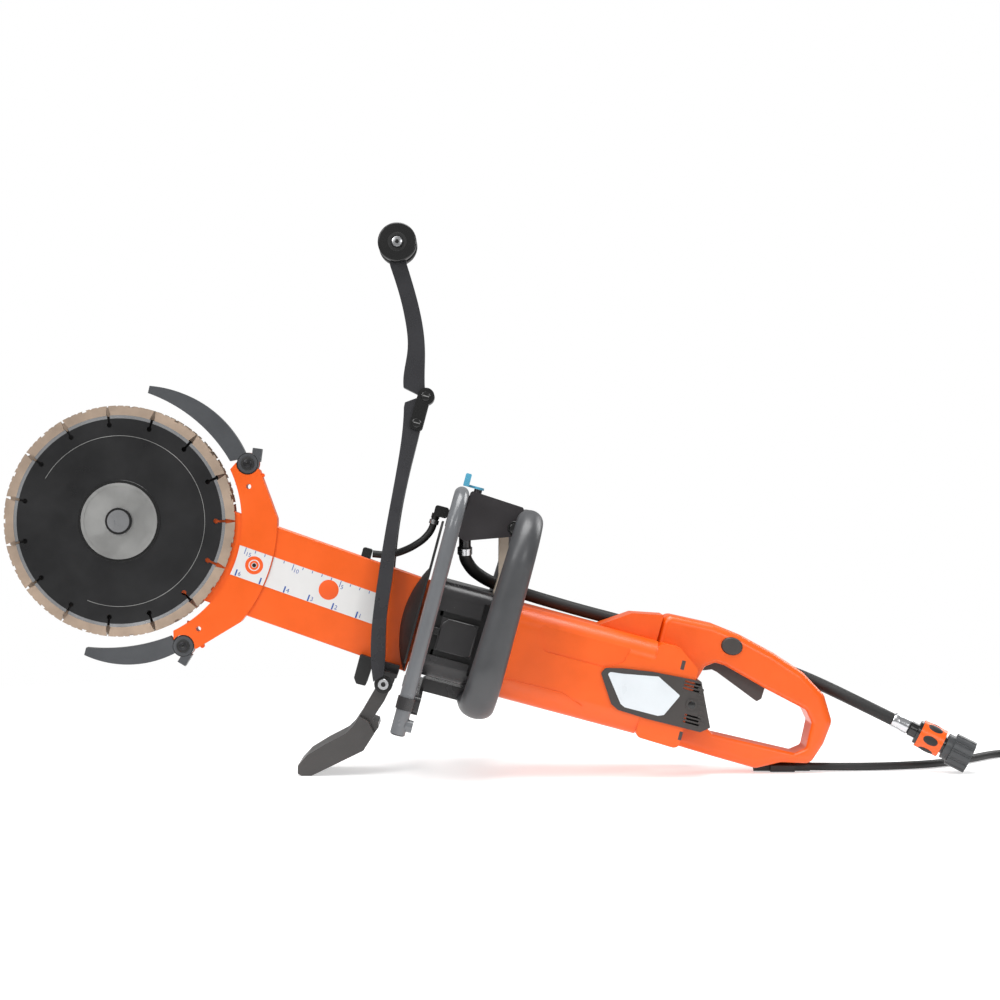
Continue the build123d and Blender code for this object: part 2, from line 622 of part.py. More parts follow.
def vent_panel(side):
    """A dark side panel: a thin plate over the housing and a louvred corner beside the handle opening."""
    with BuildPart() as panel:
        extrude(outline(BODY.offset(side * (PLATE_FACE - 0.7)), PANEL_OUTLINE, 3), amount=side * 2.4)
        extrude(outline(BODY.offset(side * (LOOP_HALF + GAP)),
                        [(GRILLE_X, 23), (267.5, 23.4), (287.5, -17.9), (279, -24.6), (GRILLE_X, -25)], 1.5),
                amount=side * (PLATE_FACE + 1.7 - LOOP_HALF - GAP))
        for row in range(3):
            for low, lean in ((12.0, 0.0), (-19.5, 8.0)):
                z0 = low + row * 3.4
                extrude(block(BODY.offset(side * (PLATE_FACE + 2)), 252 + lean, 268 + lean, z0, z0 + 1.8),
                        amount=-side * 9, mode=Mode.SUBTRACT)
        extrude(disc(BODY.offset(side * (PLATE_FACE + 1.7)), 264, -1, 5.5), amount=side * 1.2)
    return panel.part


TRIGGER_PIVOT = (277.0, 45.5)
TRIGGER_OUTLINE = [(270.5, 31), (272.5, 38.5), (276, 51), (284, 51), (300, 48), (330, 39), (336.8, 30.6),
                   (336.4, 19.5), (332.5, 15.7), (287, 33.7), (281, 34.9), (275, 32.5)]
BUTTON_CENTRE = (292.2, 63.0)
SLOT_HALF = TRIGGER_W / 2 + 0.6

with BuildPart() as handle_shell:
    add(handle_body(0))
    add(handle_body(HANDLE_WALL), mode=Mode.SUBTRACT)
    # trigger slot and lock button hole
    extrude(outline(BODY, [(266, 20), (268, 40), (272, 54), (300, 54), (341, 43), (341, 12), (290, 30)]),
            amount=SLOT_HALF, both=True, mode=Mode.SUBTRACT)
    with BuildSketch(BODY.offset(LOOP_HALF + 1)):
        with Locations(BUTTON_CENTRE):
            Ellipse(BUTTON_RX + GAP, BUTTON_RZ + GAP)
    extrude(amount=-8, mode=Mode.SUBTRACT)
    extrude(disc(BODY, *TRIGGER_PIVOT, 2.5), amount=SLOT_HALF + 6, both=True, mode=Mode.SUBTRACT)
    # mouth for the cable gland under the rear of the lower beam
    with BuildSketch(Plane(origin=(GLAND_FRONT - 1, 0, GLAND_AXIS_Z), z_dir=(1, 0, 0))):
        Circle(GLAND_R + SEAT)
    extrude(amount=60, mode=Mode.SUBTRACT)

with BuildPart() as handle_shell_left:
    add(handle_shell.part)
    split(bisect_by=Plane.XZ, keep=Keep.TOP)
with BuildPart() as handle_shell_right:
    add(handle_shell.part)
    split(bisect_by=Plane.XZ, keep=Keep.BOTTOM)

with BuildPart() as vent_panel_left:
    add(vent_panel(1))
with BuildPart() as vent_panel_right:
    add(vent_panel(-1))
with BuildPart() as name_plates:
    for side in (1, -1):
        extrude(outline(BODY.offset(side * (PLATE_FACE + 1.7)), PLATE_OUTLINE, 1.5), amount=side * 0.8)

with BuildPart() as trigger:
    extrude(outline(BODY, TRIGGER_OUTLINE, 1.5), amount=TRIGGER_W / 2, both=True)
    fillet(trigger.faces().filter_by(Axis.Y).edges(), 1.2)
    extrude(disc(BODY, *TRIGGER_PIVOT, 2.5 + RUNNING), amount=TRIGGER_W, both=True, mode=Mode.SUBTRACT)

with BuildPart() as lock_button:
    with BuildSketch(BODY.offset(LOOP_HALF - 7)):
        with Locations(BUTTON_CENTRE):
            Ellipse(BUTTON_RX, BUTTON_RZ)
    extrude(amount=9)
    fillet(lock_button.faces().sort_by(Axis.Y)[0].edges(), 1.5)

with BuildPart() as switch_unit:
    extrude(block(BODY, 299, 328, 52.5, 62.5, 1.5), amount=9, both=True)
    extrude(disc(BODY, *TRIGGER_PIVOT, 2.5), amount=SLOT_HALF + 6, both=True)

with BuildPart() as control_board:
    extrude(block(BODY.offset(30), 224, 256, -36, 30, 2), amount=1.6)
    for low in (-30, -8, 12):
        extrude(block(BODY.offset(18), 228, 250, low, low + 14, 2), amount=12)

with BuildPart() as return_springs:
    with BuildSketch(BODY.offset(LOOP_HALF - 16)):
        with Locations(BUTTON_CENTRE):
            Circle(4)
            Circle(3, mode=Mode.SUBTRACT)
    extrude(amount=5.6)

# ---------------------------------------------------------------- hoops, valve block and splash guard
CORNER_R = 36.0
with BuildPart() as hand_guard_hoop:
    with BuildLine(across(BODY, GUARD_HOOP_X)) as hoop_path:
        FilletPolyline((-GUARD_HOOP_HALF, GUARD_HOOP_FOOT), (-GUARD_HOOP_HALF, GUARD_HOOP_TOP),
                       (GUARD_HOOP_HALF, GUARD_HOOP_TOP), (GUARD_HOOP_HALF, GUARD_HOOP_FOOT), radius=CORNER_R)
    with BuildSketch(Plane(origin=hoop_path.line @ 0, z_dir=hoop_path.line % 0)):
        Circle(GUARD_HOOP_D / 2)
    sweep(path=hoop_path.line)
    for side in (1, -1):
        with BuildSketch(across(BODY, GUARD_HOOP_X + 5)):
            with Locations((side * GUARD_HOOP_HALF, GUARD_HOOP_FOOT + 10)):
                Circle(6)
        extrude(amount=7)

with BuildPart() as grip_hoop:
    with BuildLine(across(BODY, GRIP_X)) as grip_path:
        FilletPolyline((0, GRIP_TOP), (-GRIP_HALF, GRIP_TOP), (-GRIP_HALF, GRIP_BOTTOM), (0, GRIP_BOTTOM),
                       radius=GRIP_CORNER_R)
    with BuildSketch(Plane(origin=grip_path.line @ 0, x_dir=BODY.x_dir, z_dir=grip_path.line % 0)):
        Ellipse(GRIP_D / 2, GRIP_D / 2 - 0.1)
    with BuildSketch(Plane(origin=grip_path.line @ 1, x_dir=BODY.x_dir, z_dir=grip_path.line % 1)):
        with Locations(((GRIP_D - GRIP_FOOT_D) / 2, 0)):
            Ellipse(GRIP_FOOT_D / 2, GRIP_D / 2 - 0.1)
    sweep(path=grip_path.line, multisection=True)
    mirror(about=Plane.XZ)

HOOP_R = GUARD_HOOP_D / 2
with BuildPart() as hoop_bracket:
    extrude(block(BODY, GUARD_HOOP_X + HOOP_R + 3, GRIP_X - 2, -59.5, MOTOR_BOTTOM - 2.2, 3), amount=16,
            both=True)
    with BuildSketch(across(BODY, GUARD_HOOP_X)):
        with Locations((0, -66)):
            RectangleRounded(2 * GUARD_HOOP_HALF, 18, 5)
    extrude(amount=HOOP_R + 6)
    add(hand_guard_hoop.part, mode=Mode.SUBTRACT)
    add(grip_hoop.part, mode=Mode.SUBTRACT)

TAP_X = 10.0
VALVE_SIDE = [(-13, 123), (-13, 104), (9, 95.2), (58, 113), (58, 142), (3.2, 145), (3.2, 123)]
with BuildPart() as valve_block:
    extrude(outline(BODY, VALVE_SIDE, 2.5), amount=VALVE_W / 2, both=True)
    extrude(block(BODY, -4, 8, 122, 140), amount=12, both=True)
    extrude(block(BODY, 50, 66, 116, 132), amount=12, both=True)
    with BuildSketch(BODY.offset(VALVE_W / 2)):
        with Locations((54, 120)):
            Circle(4)
    extrude(amount=5)
    with BuildSketch(Plane(origin=BODY.from_local_coords(Vector(TAP_X, 138, 0)), z_dir=BODY.y_dir)):
        Circle(4)
    extrude(amount=148 - SEAT - 138)
    add(hand_guard_hoop.part, mode=Mode.SUBTRACT)
    add(grip_hoop.part, mode=Mode.SUBTRACT)

with BuildPart() as tap_lever:
    with BuildSketch(Plane(origin=BODY.from_local_coords(Vector(TAP_X, 148.0, 0)), x_dir=BODY.x_dir,
                           z_dir=BODY.y_dir)):
        Circle(5.5)
        with Locations((-8, 0)):
            RectangleRounded(16, 6, 2)
    extrude(amount=2.4)
    extrude(block(BODY, TAP_X - 16, TAP_X - 10, 148, 161, 1.5), amount=9, both=True)

STRUT_HALF = 12.0
STRUT_SIDE = [(40.5, 112.5), (50, 115), (60.5, 72), (58, 53), (50.5, 53), (51.5, 70)]
with BuildPart() as hoop_strut:
    extrude(outline(BODY.offset(-STRUT_HALF), STRUT_SIDE), amount=2 * STRUT_HALF)
    add(valve_block.part, mode=Mode.SUBTRACT)
    add(bearing_flange.part, mode=Mode.SUBTRACT)
    add(motor_housing.part, mode=Mode.SUBTRACT)

CAP_R = 52.0
CAP_SAG = 14.0
CAP_X = -17.0
GUARD_SHEET_T = 2.0
CAP_Z = 8.0
SPHERE_R = (CAP_R**2 + CAP_SAG**2) / (2 * CAP_SAG)
with BuildPart() as splash_bowl:
    with Locations(BODY.from_local_coords(Vector(CAP_X - CAP_SAG + SPHERE_R, CAP_Z, 0))):
        Sphere(SPHERE_R)
        Sphere(SPHERE_R - GUARD_SHEET_T, mode=Mode.SUBTRACT)
    split(bisect_by=across(BODY, CAP_X + GUARD_SHEET_T), keep=Keep.BOTTOM)

with BuildPart() as splash_guard:
    with BuildSketch(across(BODY, CAP_X)):
        with Locations((0, 36.5)):
            RectangleRounded(128, 143, 20)
        with Locations((0, CAP_Z)):
            Circle(CAP_R - 3, mode=Mode.SUBTRACT)
    extrude(amount=GUARD_SHEET_T)
    add(splash_bowl.part)
    extrude(arm_face(ARM.offset(-ARM_HALF - 1), 1), amount=ARM_T + 2, mode=Mode.SUBTRACT)
    extrude(disc(BODY.offset(-ARM_HALF), 0, 0, GEAR_BULGE_R + 1), amount=-(SHAFT_END + 6.5 - ARM_HALF),
            mode=Mode.SUBTRACT)
    with BuildSketch(across(BODY, CAP_X - CAP_SAG - 4)):
        Polygon((-8, -60), (SHAFT_END + 8, -60), (SHAFT_END + 8, -20), (-8, -20), align=None)
    extrude(amount=CAP_SAG + 8, mode=Mode.SUBTRACT)
    split(bisect_by=across(BODY, GEARBOX_FRONT - 11), keep=Keep.BOTTOM)

# ---------------------------------------------------------------- wall guide, bracket and foot
RAIL_LEFT = [(-83, 208), (-76.8, 174.6), (-74.5, 155), (-71, 115.6), (-67.5, 76.2), (-63, 37), (-57.7, -2),
             (-50.8, -33.4), (-41, -60)]
RAIL_RIGHT = [(-33, -52), (-36, -34), (-44.5, 1.4), (-49.5, 40.5), (-55.5, 79.3), (-59.5, 118.4),
              (-61, 158.6), (-61.2, 178.9), (-62.5, 207)]
RAIL_FOOT_Z = -62.0


def rail_half(z):
    """The half width over the rails at this height: they close in towards the hinge."""
    return RAIL_SPREAD + (RAIL_TOP_HALF - RAIL_SPREAD) * (z - RAIL_FOOT_Z) / (190 - RAIL_FOOT_Z)


with BuildPart() as guide_frame:
    with BuildSketch(BODY):
        with BuildLine():
            edge_front = Spline(*[(x, z) for x, z in RAIL_LEFT])
            edge_rear = Spline(*[(x, z) for x, z in RAIL_RIGHT])
            Line(edge_front @ 1, edge_rear @ 0)
            Polyline(edge_rear @ 1, (-66, 214.5), (-73.5, 219.8), (-83.2, 212.9), edge_front @ 0)
        make_face()
    extrude(amount=RAIL_SPREAD, both=True)
    with BuildSketch(across(BODY, -120)):
        Polygon((-rail_half(-70), -70), (-RAIL_TOP_HALF, 190), (-RAIL_TOP_HALF, 230), (RAIL_TOP_HALF, 230),
                (RAIL_TOP_HALF, 190), (rail_half(-70), -70), align=None)
    extrude(amount=120, mode=Mode.INTERSECT)
    with BuildSketch(across(BODY, -120)):
        Polygon((-rail_half(-80) + RAIL_W, -80), (-rail_half(140) + RAIL_W, 140), (0, 152),
                (rail_half(140) - RAIL_W, 140), (rail_half(-80) - RAIL_W, -80), align=None)
    extrude(amount=120, mode=Mode.SUBTRACT)
    extrude(disc(BODY, *GUIDE_PIVOT, HUB_R + GAP), amount=40, both=True, mode=Mode.SUBTRACT)
    extrude(disc(BODY, *STRAP_BOLT, HINGE_PIN_R + RUNNING), amount=RAIL_TOP_HALF + 2, both=True,
            mode=Mode.SUBTRACT)

EAR_IN = RAIL_TOP_HALF + GAP
with BuildPart() as guide_hinge:
    for side in (1, -1):
        with BuildSketch(BODY.offset(side * EAR_IN)):
            with Locations(GUIDE_PIVOT):
                Circle(HUB_R)
            with Locations((-66.5, 206.5)):
                RectangleRounded(13, 35, 4)
        extrude(amount=side * 3)
        for x, z in (GUIDE_PIVOT, STRAP_BOLT):
            extrude(disc(BODY.offset(side * (EAR_IN + 3)), x, z, 4), amount=side * 1.6)
    extrude(disc(BODY, *GUIDE_PIVOT, HINGE_PIN_R), amount=EAR_IN + 1, both=True)
    extrude(disc(BODY, *STRAP_BOLT, HINGE_PIN_R), amount=EAR_IN + 1, both=True)

UPPER_LEFT = [(-88.5, 227), (-91, 236), (-94.3, 264.4), (-102.5, 288.4), (-116.8, 315.8), (-133, 341)]
UPPER_RIGHT = [(-117.5, 347), (-102.5, 322.7), (-86.5, 292.5), (-77.5, 268), (-72, 246), (-68, 232)]
with BuildPart() as guide_upper_arm:
    with BuildSketch(BODY):
        with BuildLine():
            front = Spline(*UPPER_LEFT)
            rear = Spline(*UPPER_RIGHT)
            Polyline(front @ 1, (-138.5, 358), (-124.5, 368), rear @ 0)
            Polyline(rear @ 1, (-65, 224.5), (-70, 223.2), front @ 0)
        make_face()
        with Locations(GUIDE_PIVOT):
            Circle(HUB_R)
        with Locations(WHEEL_CENTRE):
            Circle(9)
    extrude(amount=RAIL_TOP_HALF, both=True)
    extrude(disc(BODY, *GUIDE_PIVOT, HINGE_PIN_R + RUNNING), amount=20, both=True, mode=Mode.SUBTRACT)
    # wheel axle with a bolt head at each end
    extrude(disc(BODY, *WHEEL_CENTRE, PIN_R), amount=RAIL_TOP_HALF + GAP + WHEEL_T + GAP, both=True)
    for side in (1, -1):
        extrude(disc(BODY.offset(side * (RAIL_TOP_HALF + GAP + WHEEL_T + GAP)), *WHEEL_CENTRE, 5.5),
                amount=side * 2)

with BuildPart() as guide_wheels:
    for side in (1, -1):
        extrude(disc(BODY.offset(side * (RAIL_TOP_HALF + GAP)), *WHEEL_CENTRE, WHEEL_R, PIN_R + RUNNING),
                amount=side * WHEEL_T)
    fillet(guide_wheels.edges().filter_by(GeomType.CIRCLE).sort_by(SortBy.RADIUS)[-4:], 1.5)

CHEEK_IN = FOOT_NECK_W / 2 + GAP
CHEEK_OUT = 35.5
FOOT_HEAD_R = 8.0
PIN_HEAD_T = 2.0
with BuildPart() as guide_bracket:
    extrude(block(BODY, -43, -20, -52.5, -48.4, 1), amount=rail_half(-48.4) - RAIL_W, both=True)
    extrude(block(BODY, -43, -20, -52.5, -41, 1), amount=16, both=True)
    extrude(arm_face(ARM.offset(-ARM_HALF - SEAT), SEAT), amount=ARM_T + 2 * SEAT, mode=Mode.SUBTRACT)
    for side in (1, -1):
        with BuildSketch(BODY.offset(side * CHEEK_IN)):
            with Locations(FOOT_PIVOT):
                Circle(9)
            with Locations((-31, -55)):
                Rectangle(18, 13)
        extrude(amount=side * (CHEEK_OUT - CHEEK_IN))
        extrude(disc(BODY.offset(side * CHEEK_OUT), *FOOT_PIVOT, 5.1), amount=side * PIN_HEAD_T)
    extrude(disc(BODY, *FOOT_PIVOT, PIN_R), amount=CHEEK_OUT, both=True)
    for side in (1, -1):
        with BuildSketch(BODY.offset(side * (CHEEK_OUT + PIN_HEAD_T))):
            with Locations(FOOT_PIVOT):
                RegularPolygon(2.2, 6)
        extrude(amount=-side * PIN_HEAD_T, mode=Mode.SUBTRACT)

with BuildPart() as stop_block:
    extrude(outline(BODY, [(-61, -40), (-61, -64), (-57.5, -69), (-48, -69), (-46.5, -41)], 1.5),
            amount=20, both=True)
    extrude(arm_face(ARM.offset(-ARM_HALF - 1), SEAT), amount=ARM_T + 2, mode=Mode.SUBTRACT)

FOOT_SOLE = [(-45.6, -97.8), (-49.5, -109.6), (-54.5, -118), (-71, -133), (-85, -147.7), (-91.5, -160),
             (-89.5, -168), (-80, -170), (-33.1, -129.5), (-27, -110.5)]
FOOT_SIDE = [(-37, -66), (-39, -74), *FOOT_SOLE, (-24.5, -104), (-26.5, -99.5), (-33, -99), (-26, -78),
             (-23.2, -64)]
with BuildPart() as foot:
    extrude(outline(BODY, FOOT_SIDE, 1.6), amount=FOOT_NECK_W / 2, both=True)
    extrude(outline(BODY, [*FOOT_SOLE, (-36, -100)], 1.6), amount=FOOT_W / 2, both=True)
    extrude(disc(BODY, *FOOT_PIVOT, FOOT_HEAD_R), amount=FOOT_NECK_W / 2, both=True)
    extrude(disc(BODY, *FOOT_PIVOT, PIN_R + RUNNING), amount=FOOT_W, both=True, mode=Mode.SUBTRACT)
    split(bisect_by=Plane.XY, keep=Keep.TOP)

# ---------------------------------------------------------------- blade guard arms
GUARD_ARM_FAR = -GUARD_HALF + CHEEK_T
GUARD_ARM_NEAR = GUARD_HALF - 1
EYE_R = LUG_R - GAP


def guard_arm(side, root_angle, tip_angle, tip_r):
    """A crescent guard that swings about its pin, from its root beside the plate to its tip."""
    x, z = PIVOTS[0] if side > 0 else PIVOTS[1]
    mid = (root_angle + tip_angle) / 2
    inner_root = polar(GUARD_ARM_INNER_R, root_angle)
    outer_root = polar(GUARD_ARM_OUTER_R, root_angle - 2 * side)
    inner_tip, outer_tip = polar(tip_r - 3.5, tip_angle), polar(tip_r + 4, tip_angle)
    with BuildPart() as arm:
        with BuildSketch(ARM.offset(GUARD_ARM_FAR)):
            with BuildLine():
                ThreePointArc(inner_root, polar(GUARD_ARM_INNER_R + 0.6, mid), inner_tip)
                Line(inner_tip, outer_tip)
                ThreePointArc(outer_tip, polar(GUARD_ARM_OUTER_R + 1.4, mid), outer_root)
                Line(outer_root, inner_root)
            make_face()
            with Locations((x, z)):
                Circle(EYE_R)
            with Locations(Location((x + 5.5, z + side * 11), side * 12)):
                Rectangle(9, 13)
        extrude(amount=GUARD_ARM_NEAR - GUARD_ARM_FAR)
        extrude(disc(ARM.offset(GUARD_ARM_FAR - 1), x, z, GUARD_PIN_R + RUNNING), amount=GUARD_T,
                mode=Mode.SUBTRACT)
        extrude(guard_face(ARM.offset(-GUARD_HALF)), amount=GUARD_T, mode=Mode.SUBTRACT)
        with BuildSketch(ARM.offset(GUARD_ARM_FAR)):
            with Locations((x, z)):
                Circle(EYE_R)
                Circle(GUARD_PIN_R + RUNNING, mode=Mode.SUBTRACT)
        extrude(amount=GUARD_ARM_NEAR - GUARD_ARM_FAR)
    return arm.part


with BuildPart() as guard_arm_upper:
    add(guard_arm(1, 48, 97, GUARD_TIP_R))
with BuildPart() as guard_arm_lower:
    add(guard_arm(-1, -47, -85.5, GUARD_TIP_R))

# ---------------------------------------------------------------- water hoses and fittings
def body_point(x, z, side):
    """A point of the body's side view, at this distance to the right of the centre plane."""
    return tuple(BODY.from_local_coords(Vector(x, z, -side)))


CLIP_X = 304.0
HOSE_LINE = 31.5
REAR_HOSE_ROUTE = [body_point(11.5, 90, -6), body_point(14.5, 78.5, -3), body_point(25, 68.5, 6),
                   body_point(43, 61.6, 20), body_point(66, 59.2, 28.5), body_point(95, 57.6, 32),
                   body_point(140, 56.6, HOSE_LINE), body_point(190, 56.9, 32.2),
                   body_point(236, 56.4, HOSE_LINE),
                   body_point(272, 55.8, 29.2), body_point(CLIP_X, 54.6, 28.6)]
FRONT_HOSE_ROUTE = [body_point(-24.5, 109, -2), body_point(-24.6, 97, -2), body_point(-30, 85.5, -1),
                    body_point(-40.5, 74, 0), body_point(-52, 65.5, 0), body_point(-63.5, 60.5, 0),
                    body_point(-75.5, 58.6, 0)]
HOSE_EXIT = REAR_HOSE_ROUTE[-1]
CONNECTOR_L = 71.0
NUT_R = 16.5
tilt, swing = math.radians(CONNECTOR_TILT), math.radians(CONNECTOR_SWING)
CONNECTOR_DIR = Vector(math.cos(tilt) * math.cos(swing), -math.cos(tilt) * math.sin(swing), -math.sin(tilt))
CONNECTOR_TIP = Vector(549, -13, NUT_R * math.cos(tilt) + 0.05)
CONNECTOR_START = CONNECTOR_TIP - CONNECTOR_DIR * CONNECTOR_L
HOSE_END = tuple(CONNECTOR_START + CONNECTOR_DIR * 6)
EXIT_DIR = (Vector(*HOSE_EXIT) - Vector(*REAR_HOSE_ROUTE[-2])).normalized()
INLET_HOSE_ROUTE = [HOSE_EXIT, tuple(Vector(*HOSE_EXIT) + EXIT_DIR * 38), (394, 28.5, 91),
                    tuple(CONNECTOR_START - CONNECTOR_DIR * 40), HOSE_END]
CABLE_ROUTE = [(392.1, 0.5, 4.6), (428, 0.5, 4.15), (476, 7, 4.05), (524, 25, 4.05), (566, 60, 4.05),
               (606, 107, 4.05), (650, 122, 4.05), (686, 98, 4.05), (700, 62, 8.2), (699, 34, 15.2),
               (697.5, 12, 18.6)]

with BuildPart() as rear_hose:
    add(tube_along(REAR_HOSE_ROUTE, REAR_HOSE_D, "rear_hose"))
with BuildPart() as front_hose:
    add(tube_along(FRONT_HOSE_ROUTE, FRONT_HOSE_D, "front_hose"))
with BuildPart() as inlet_hose:
    add(tube_along(INLET_HOSE_ROUTE, REAR_HOSE_D, "inlet_hose"))
with BuildPart() as power_cable:
    add(tube_along(CABLE_ROUTE, CABLE_D, "power_cable"))


def along(start, direction, distance):
    """A plane square to a direction, this far along it."""
    return Plane(origin=Vector(*start) + Vector(*direction) * distance, z_dir=direction)


def ring_on(start, direction, distance, length, radius, inner):
    """A band round a hose."""
    with BuildPart() as ring:
        with BuildSketch(along(start, direction, distance)):
            Circle(radius)
            Circle(inner, mode=Mode.SUBTRACT)
        extrude(amount=length)
    return ring.part


REAR_START_DIR = (Vector(*REAR_HOSE_ROUTE[1]) - Vector(*REAR_HOSE_ROUTE[0])).normalized()
FRONT_START_DIR = (Vector(*FRONT_HOSE_ROUTE[1]) - Vector(*FRONT_HOSE_ROUTE[0])).normalized()
with BuildPart() as hose_fittings:
    # elbow on the front of the valve block
    extrude(block(BODY.offset(-5), -27, -13.1, 111.5, 122.5, 2.5), amount=14)
    with BuildSketch(along(FRONT_HOSE_ROUTE[0], FRONT_START_DIR, -5)):
        Circle(4.2)
    extrude(amount=5)
    # barb under the valve block
    with BuildSketch(along(REAR_HOSE_ROUTE[0], REAR_START_DIR, -12)):
        Circle(6)
    extrude(amount=12)
    # elbow on the top edge of the arm
    extrude(block(BODY.offset(-5.5), -86, -76.4, 50, 63, 2), amount=11)
    # clip that holds the inlet hose to the handle
    extrude(block(BODY.offset(-LOOP_HALF), CLIP_X - 8, CLIP_X - 1, 46, 63.5, 1), amount=-2)
    add(valve_block.part, mode=Mode.SUBTRACT)
    add(arm_cover.part, mode=Mode.SUBTRACT)
    add(arm_housing.part, mode=Mode.SUBTRACT)
    add(rear_hose.part, mode=Mode.SUBTRACT)
    add(handle_shell.part, mode=Mode.SUBTRACT)

HOSE_R = REAR_HOSE_D / 2
with BuildPart() as hose_clamps:
    add(ring_on(REAR_HOSE_ROUTE[0], REAR_START_DIR, 1.5, 6.5, HOSE_R + 1.2, HOSE_R))
    add(ring_on(FRONT_HOSE_ROUTE[0], FRONT_START_DIR, 1.5, 4.5, FRONT_HOSE_D / 2 + 1.2, FRONT_HOSE_D / 2))

with BuildPart() as connector_body:
    with BuildSketch(along(CONNECTOR_START, CONNECTOR_DIR, 17)):
        Circle(14)
        Circle(9, mode=Mode.SUBTRACT)
    extrude(amount=24)
with BuildPart() as connector_core:
    with BuildSketch(along(CONNECTOR_START, CONNECTOR_DIR, 6.2)):
        Circle(7.5)
    extrude(amount=7.8)
    with BuildSketch(along(CONNECTOR_START, CONNECTOR_DIR, 14)):
        Circle(12)
    extrude(amount=3)
    with BuildSketch(along(CONNECTOR_START, CONNECTOR_DIR, 17)):
        Circle(8.9)
    extrude(amount=27)
with BuildPart() as tap_adaptor:
    with BuildSketch(along(CONNECTOR_START, CONNECTOR_DIR, 44)):
        Circle(13)
    extrude(amount=7)
    with BuildSketch(along(CONNECTOR_START, CONNECTOR_DIR, 51)):
        Circle(NUT_R)
        with PolarLocations(NUT_R + 0.4, 12):
            Circle(1.6, mode=Mode.SUBTRACT)
    extrude(amount=20)
    with BuildSketch(along(CONNECTOR_START, CONNECTOR_DIR, 57)):
        Circle(12.1)
    extrude(amount=20, mode=Mode.SUBTRACT)

# ---------------------------------------------------------------- mains lead
PLUG_CONE_L = 22.0
PLUG_BODY_L = 22.0
GLAND_TIP = Vector(*CABLE_ROUTE[0])
with BuildPart() as cable_gland:
    with BuildSketch(Plane(origin=(GLAND_FRONT, 0, GLAND_AXIS_Z), z_dir=(1, 0, 0))):
        Circle(GLAND_R)
    with BuildSketch(Plane(origin=(GLAND_REAR, GLAND_TIP.Y, GLAND_TIP.Z), z_dir=(1, 0, 0))):
        Circle(GLAND_TIP.Z)
    loft()
    extrude(block(Plane(origin=(352, 0, 0), z_dir=(1, 0, 0), x_dir=(0, 1, 0)), -9, 9, 0, 7.5, 2), amount=24)
    split(bisect_by=Plane.XY, keep=Keep.TOP)
    add(handle_shell.part, mode=Mode.SUBTRACT)

CABLE_END_DIR = (Vector(*CABLE_ROUTE[-1]) - Vector(*CABLE_ROUTE[-2])).normalized()
with BuildPart() as mains_plug:
    with BuildSketch(along(CABLE_ROUTE[-1], CABLE_END_DIR, 0)):
        Circle(6)
    with BuildSketch(along(CABLE_ROUTE[-1], CABLE_END_DIR, PLUG_CONE_L)):
        Circle(16)
    loft()
    with BuildSketch(along(CABLE_ROUTE[-1], CABLE_END_DIR, PLUG_CONE_L)):
        Circle(18.5)
    extrude(amount=PLUG_BODY_L)
    with BuildSketch(along(CABLE_ROUTE[-1], CABLE_END_DIR, PLUG_CONE_L + PLUG_BODY_L)):
        with GridLocations(19, 0, 2, 1):
            Circle(2.4)
    extrude(amount=19)

# ---------------------------------------------------------------- fasteners
with BuildPart() as case_screws:
    for x in (180, 230, 280):
        for z in (38, -38):
            extrude(disc(ARM.offset(-ARM_HALF), x, z, 3.5), amount=-1.6)
    # the motor and handle screws all go in from the right
    for x, z in ((84, 25), (84, -22)):
        extrude(disc(BODY.offset(-MOTOR_W / 2), x, z, 3.2), amount=-1.4)
    for x, z in ((318, -37), (235, 36)):
        face = LOOP_HALF if x > BLOCK_REAR else BLOCK_HALF
        extrude(disc(BODY.offset(-face), x, z, 3.0), amount=-1.2)

# ---------------------------------------------------------------- export
pieces = {
    "arm_housing": arm_housing, "arm_cover": arm_cover, "guard_plate": guard_plate,
    "scale_label": scale_label, "ball_bearings": ball_bearings, "drive_belt": drive_belt,
    "gear_housing": gear_housing, "bearing_flange": bearing_flange, "motor_housing": motor_housing,
    "stator": stator, "brush_carrier": brush_carrier, "handle_shell_left": handle_shell_left,
    "handle_shell_right": handle_shell_right, "vent_panel_left": vent_panel_left,
    "vent_panel_right": vent_panel_right, "name_plates": name_plates, "switch_unit": switch_unit,
    "control_board": control_board, "return_springs": return_springs, "cable_gland": cable_gland,
    "power_cable": power_cable, "mains_plug": mains_plug, "grip_hoop": grip_hoop,
    "hand_guard_hoop": hand_guard_hoop, "hoop_bracket": hoop_bracket, "valve_block": valve_block,
    "hoop_strut": hoop_strut, "hose_fittings": hose_fittings, "front_hose": front_hose,
    "rear_hose": rear_hose, "hose_clamps": hose_clamps, "splash_guard": splash_guard,
    "case_screws": case_screws, "guide_bracket": guide_bracket, "guide_frame": guide_frame,
    "guide_hinge": guide_hinge, "stop_block": stop_block, "inlet_hose": inlet_hose,
    "connector_body": connector_body, "connector_core": connector_core,
    "tap_adaptor": tap_adaptor, "blade_near": blade_near, "blade_far": blade_far,
    "blade_segments": blade_segments, "blade_flanges": blade_flanges, "blade_spindle": blade_spindle,
    "flange_bolt": flange_bolt, "drive_shaft": drive_shaft, "bevel_gear": bevel_gear,
    "rotor_shaft": rotor_shaft, "rotor_core": rotor_core, "cooling_fan": cooling_fan,
    "trigger": trigger, "lock_button": lock_button, "tap_lever": tap_lever,
    "guard_arm_upper": guard_arm_upper, "guard_arm_lower": guard_arm_lower,
    "guide_upper_arm": guide_upper_arm, "guide_wheels": guide_wheels, "foot": foot,
}
for name, piece in pieces.items():
    piece.part.label = name
    export_step(piece.part, f"parts/{name}.step")
print(len(pieces), "pieces")
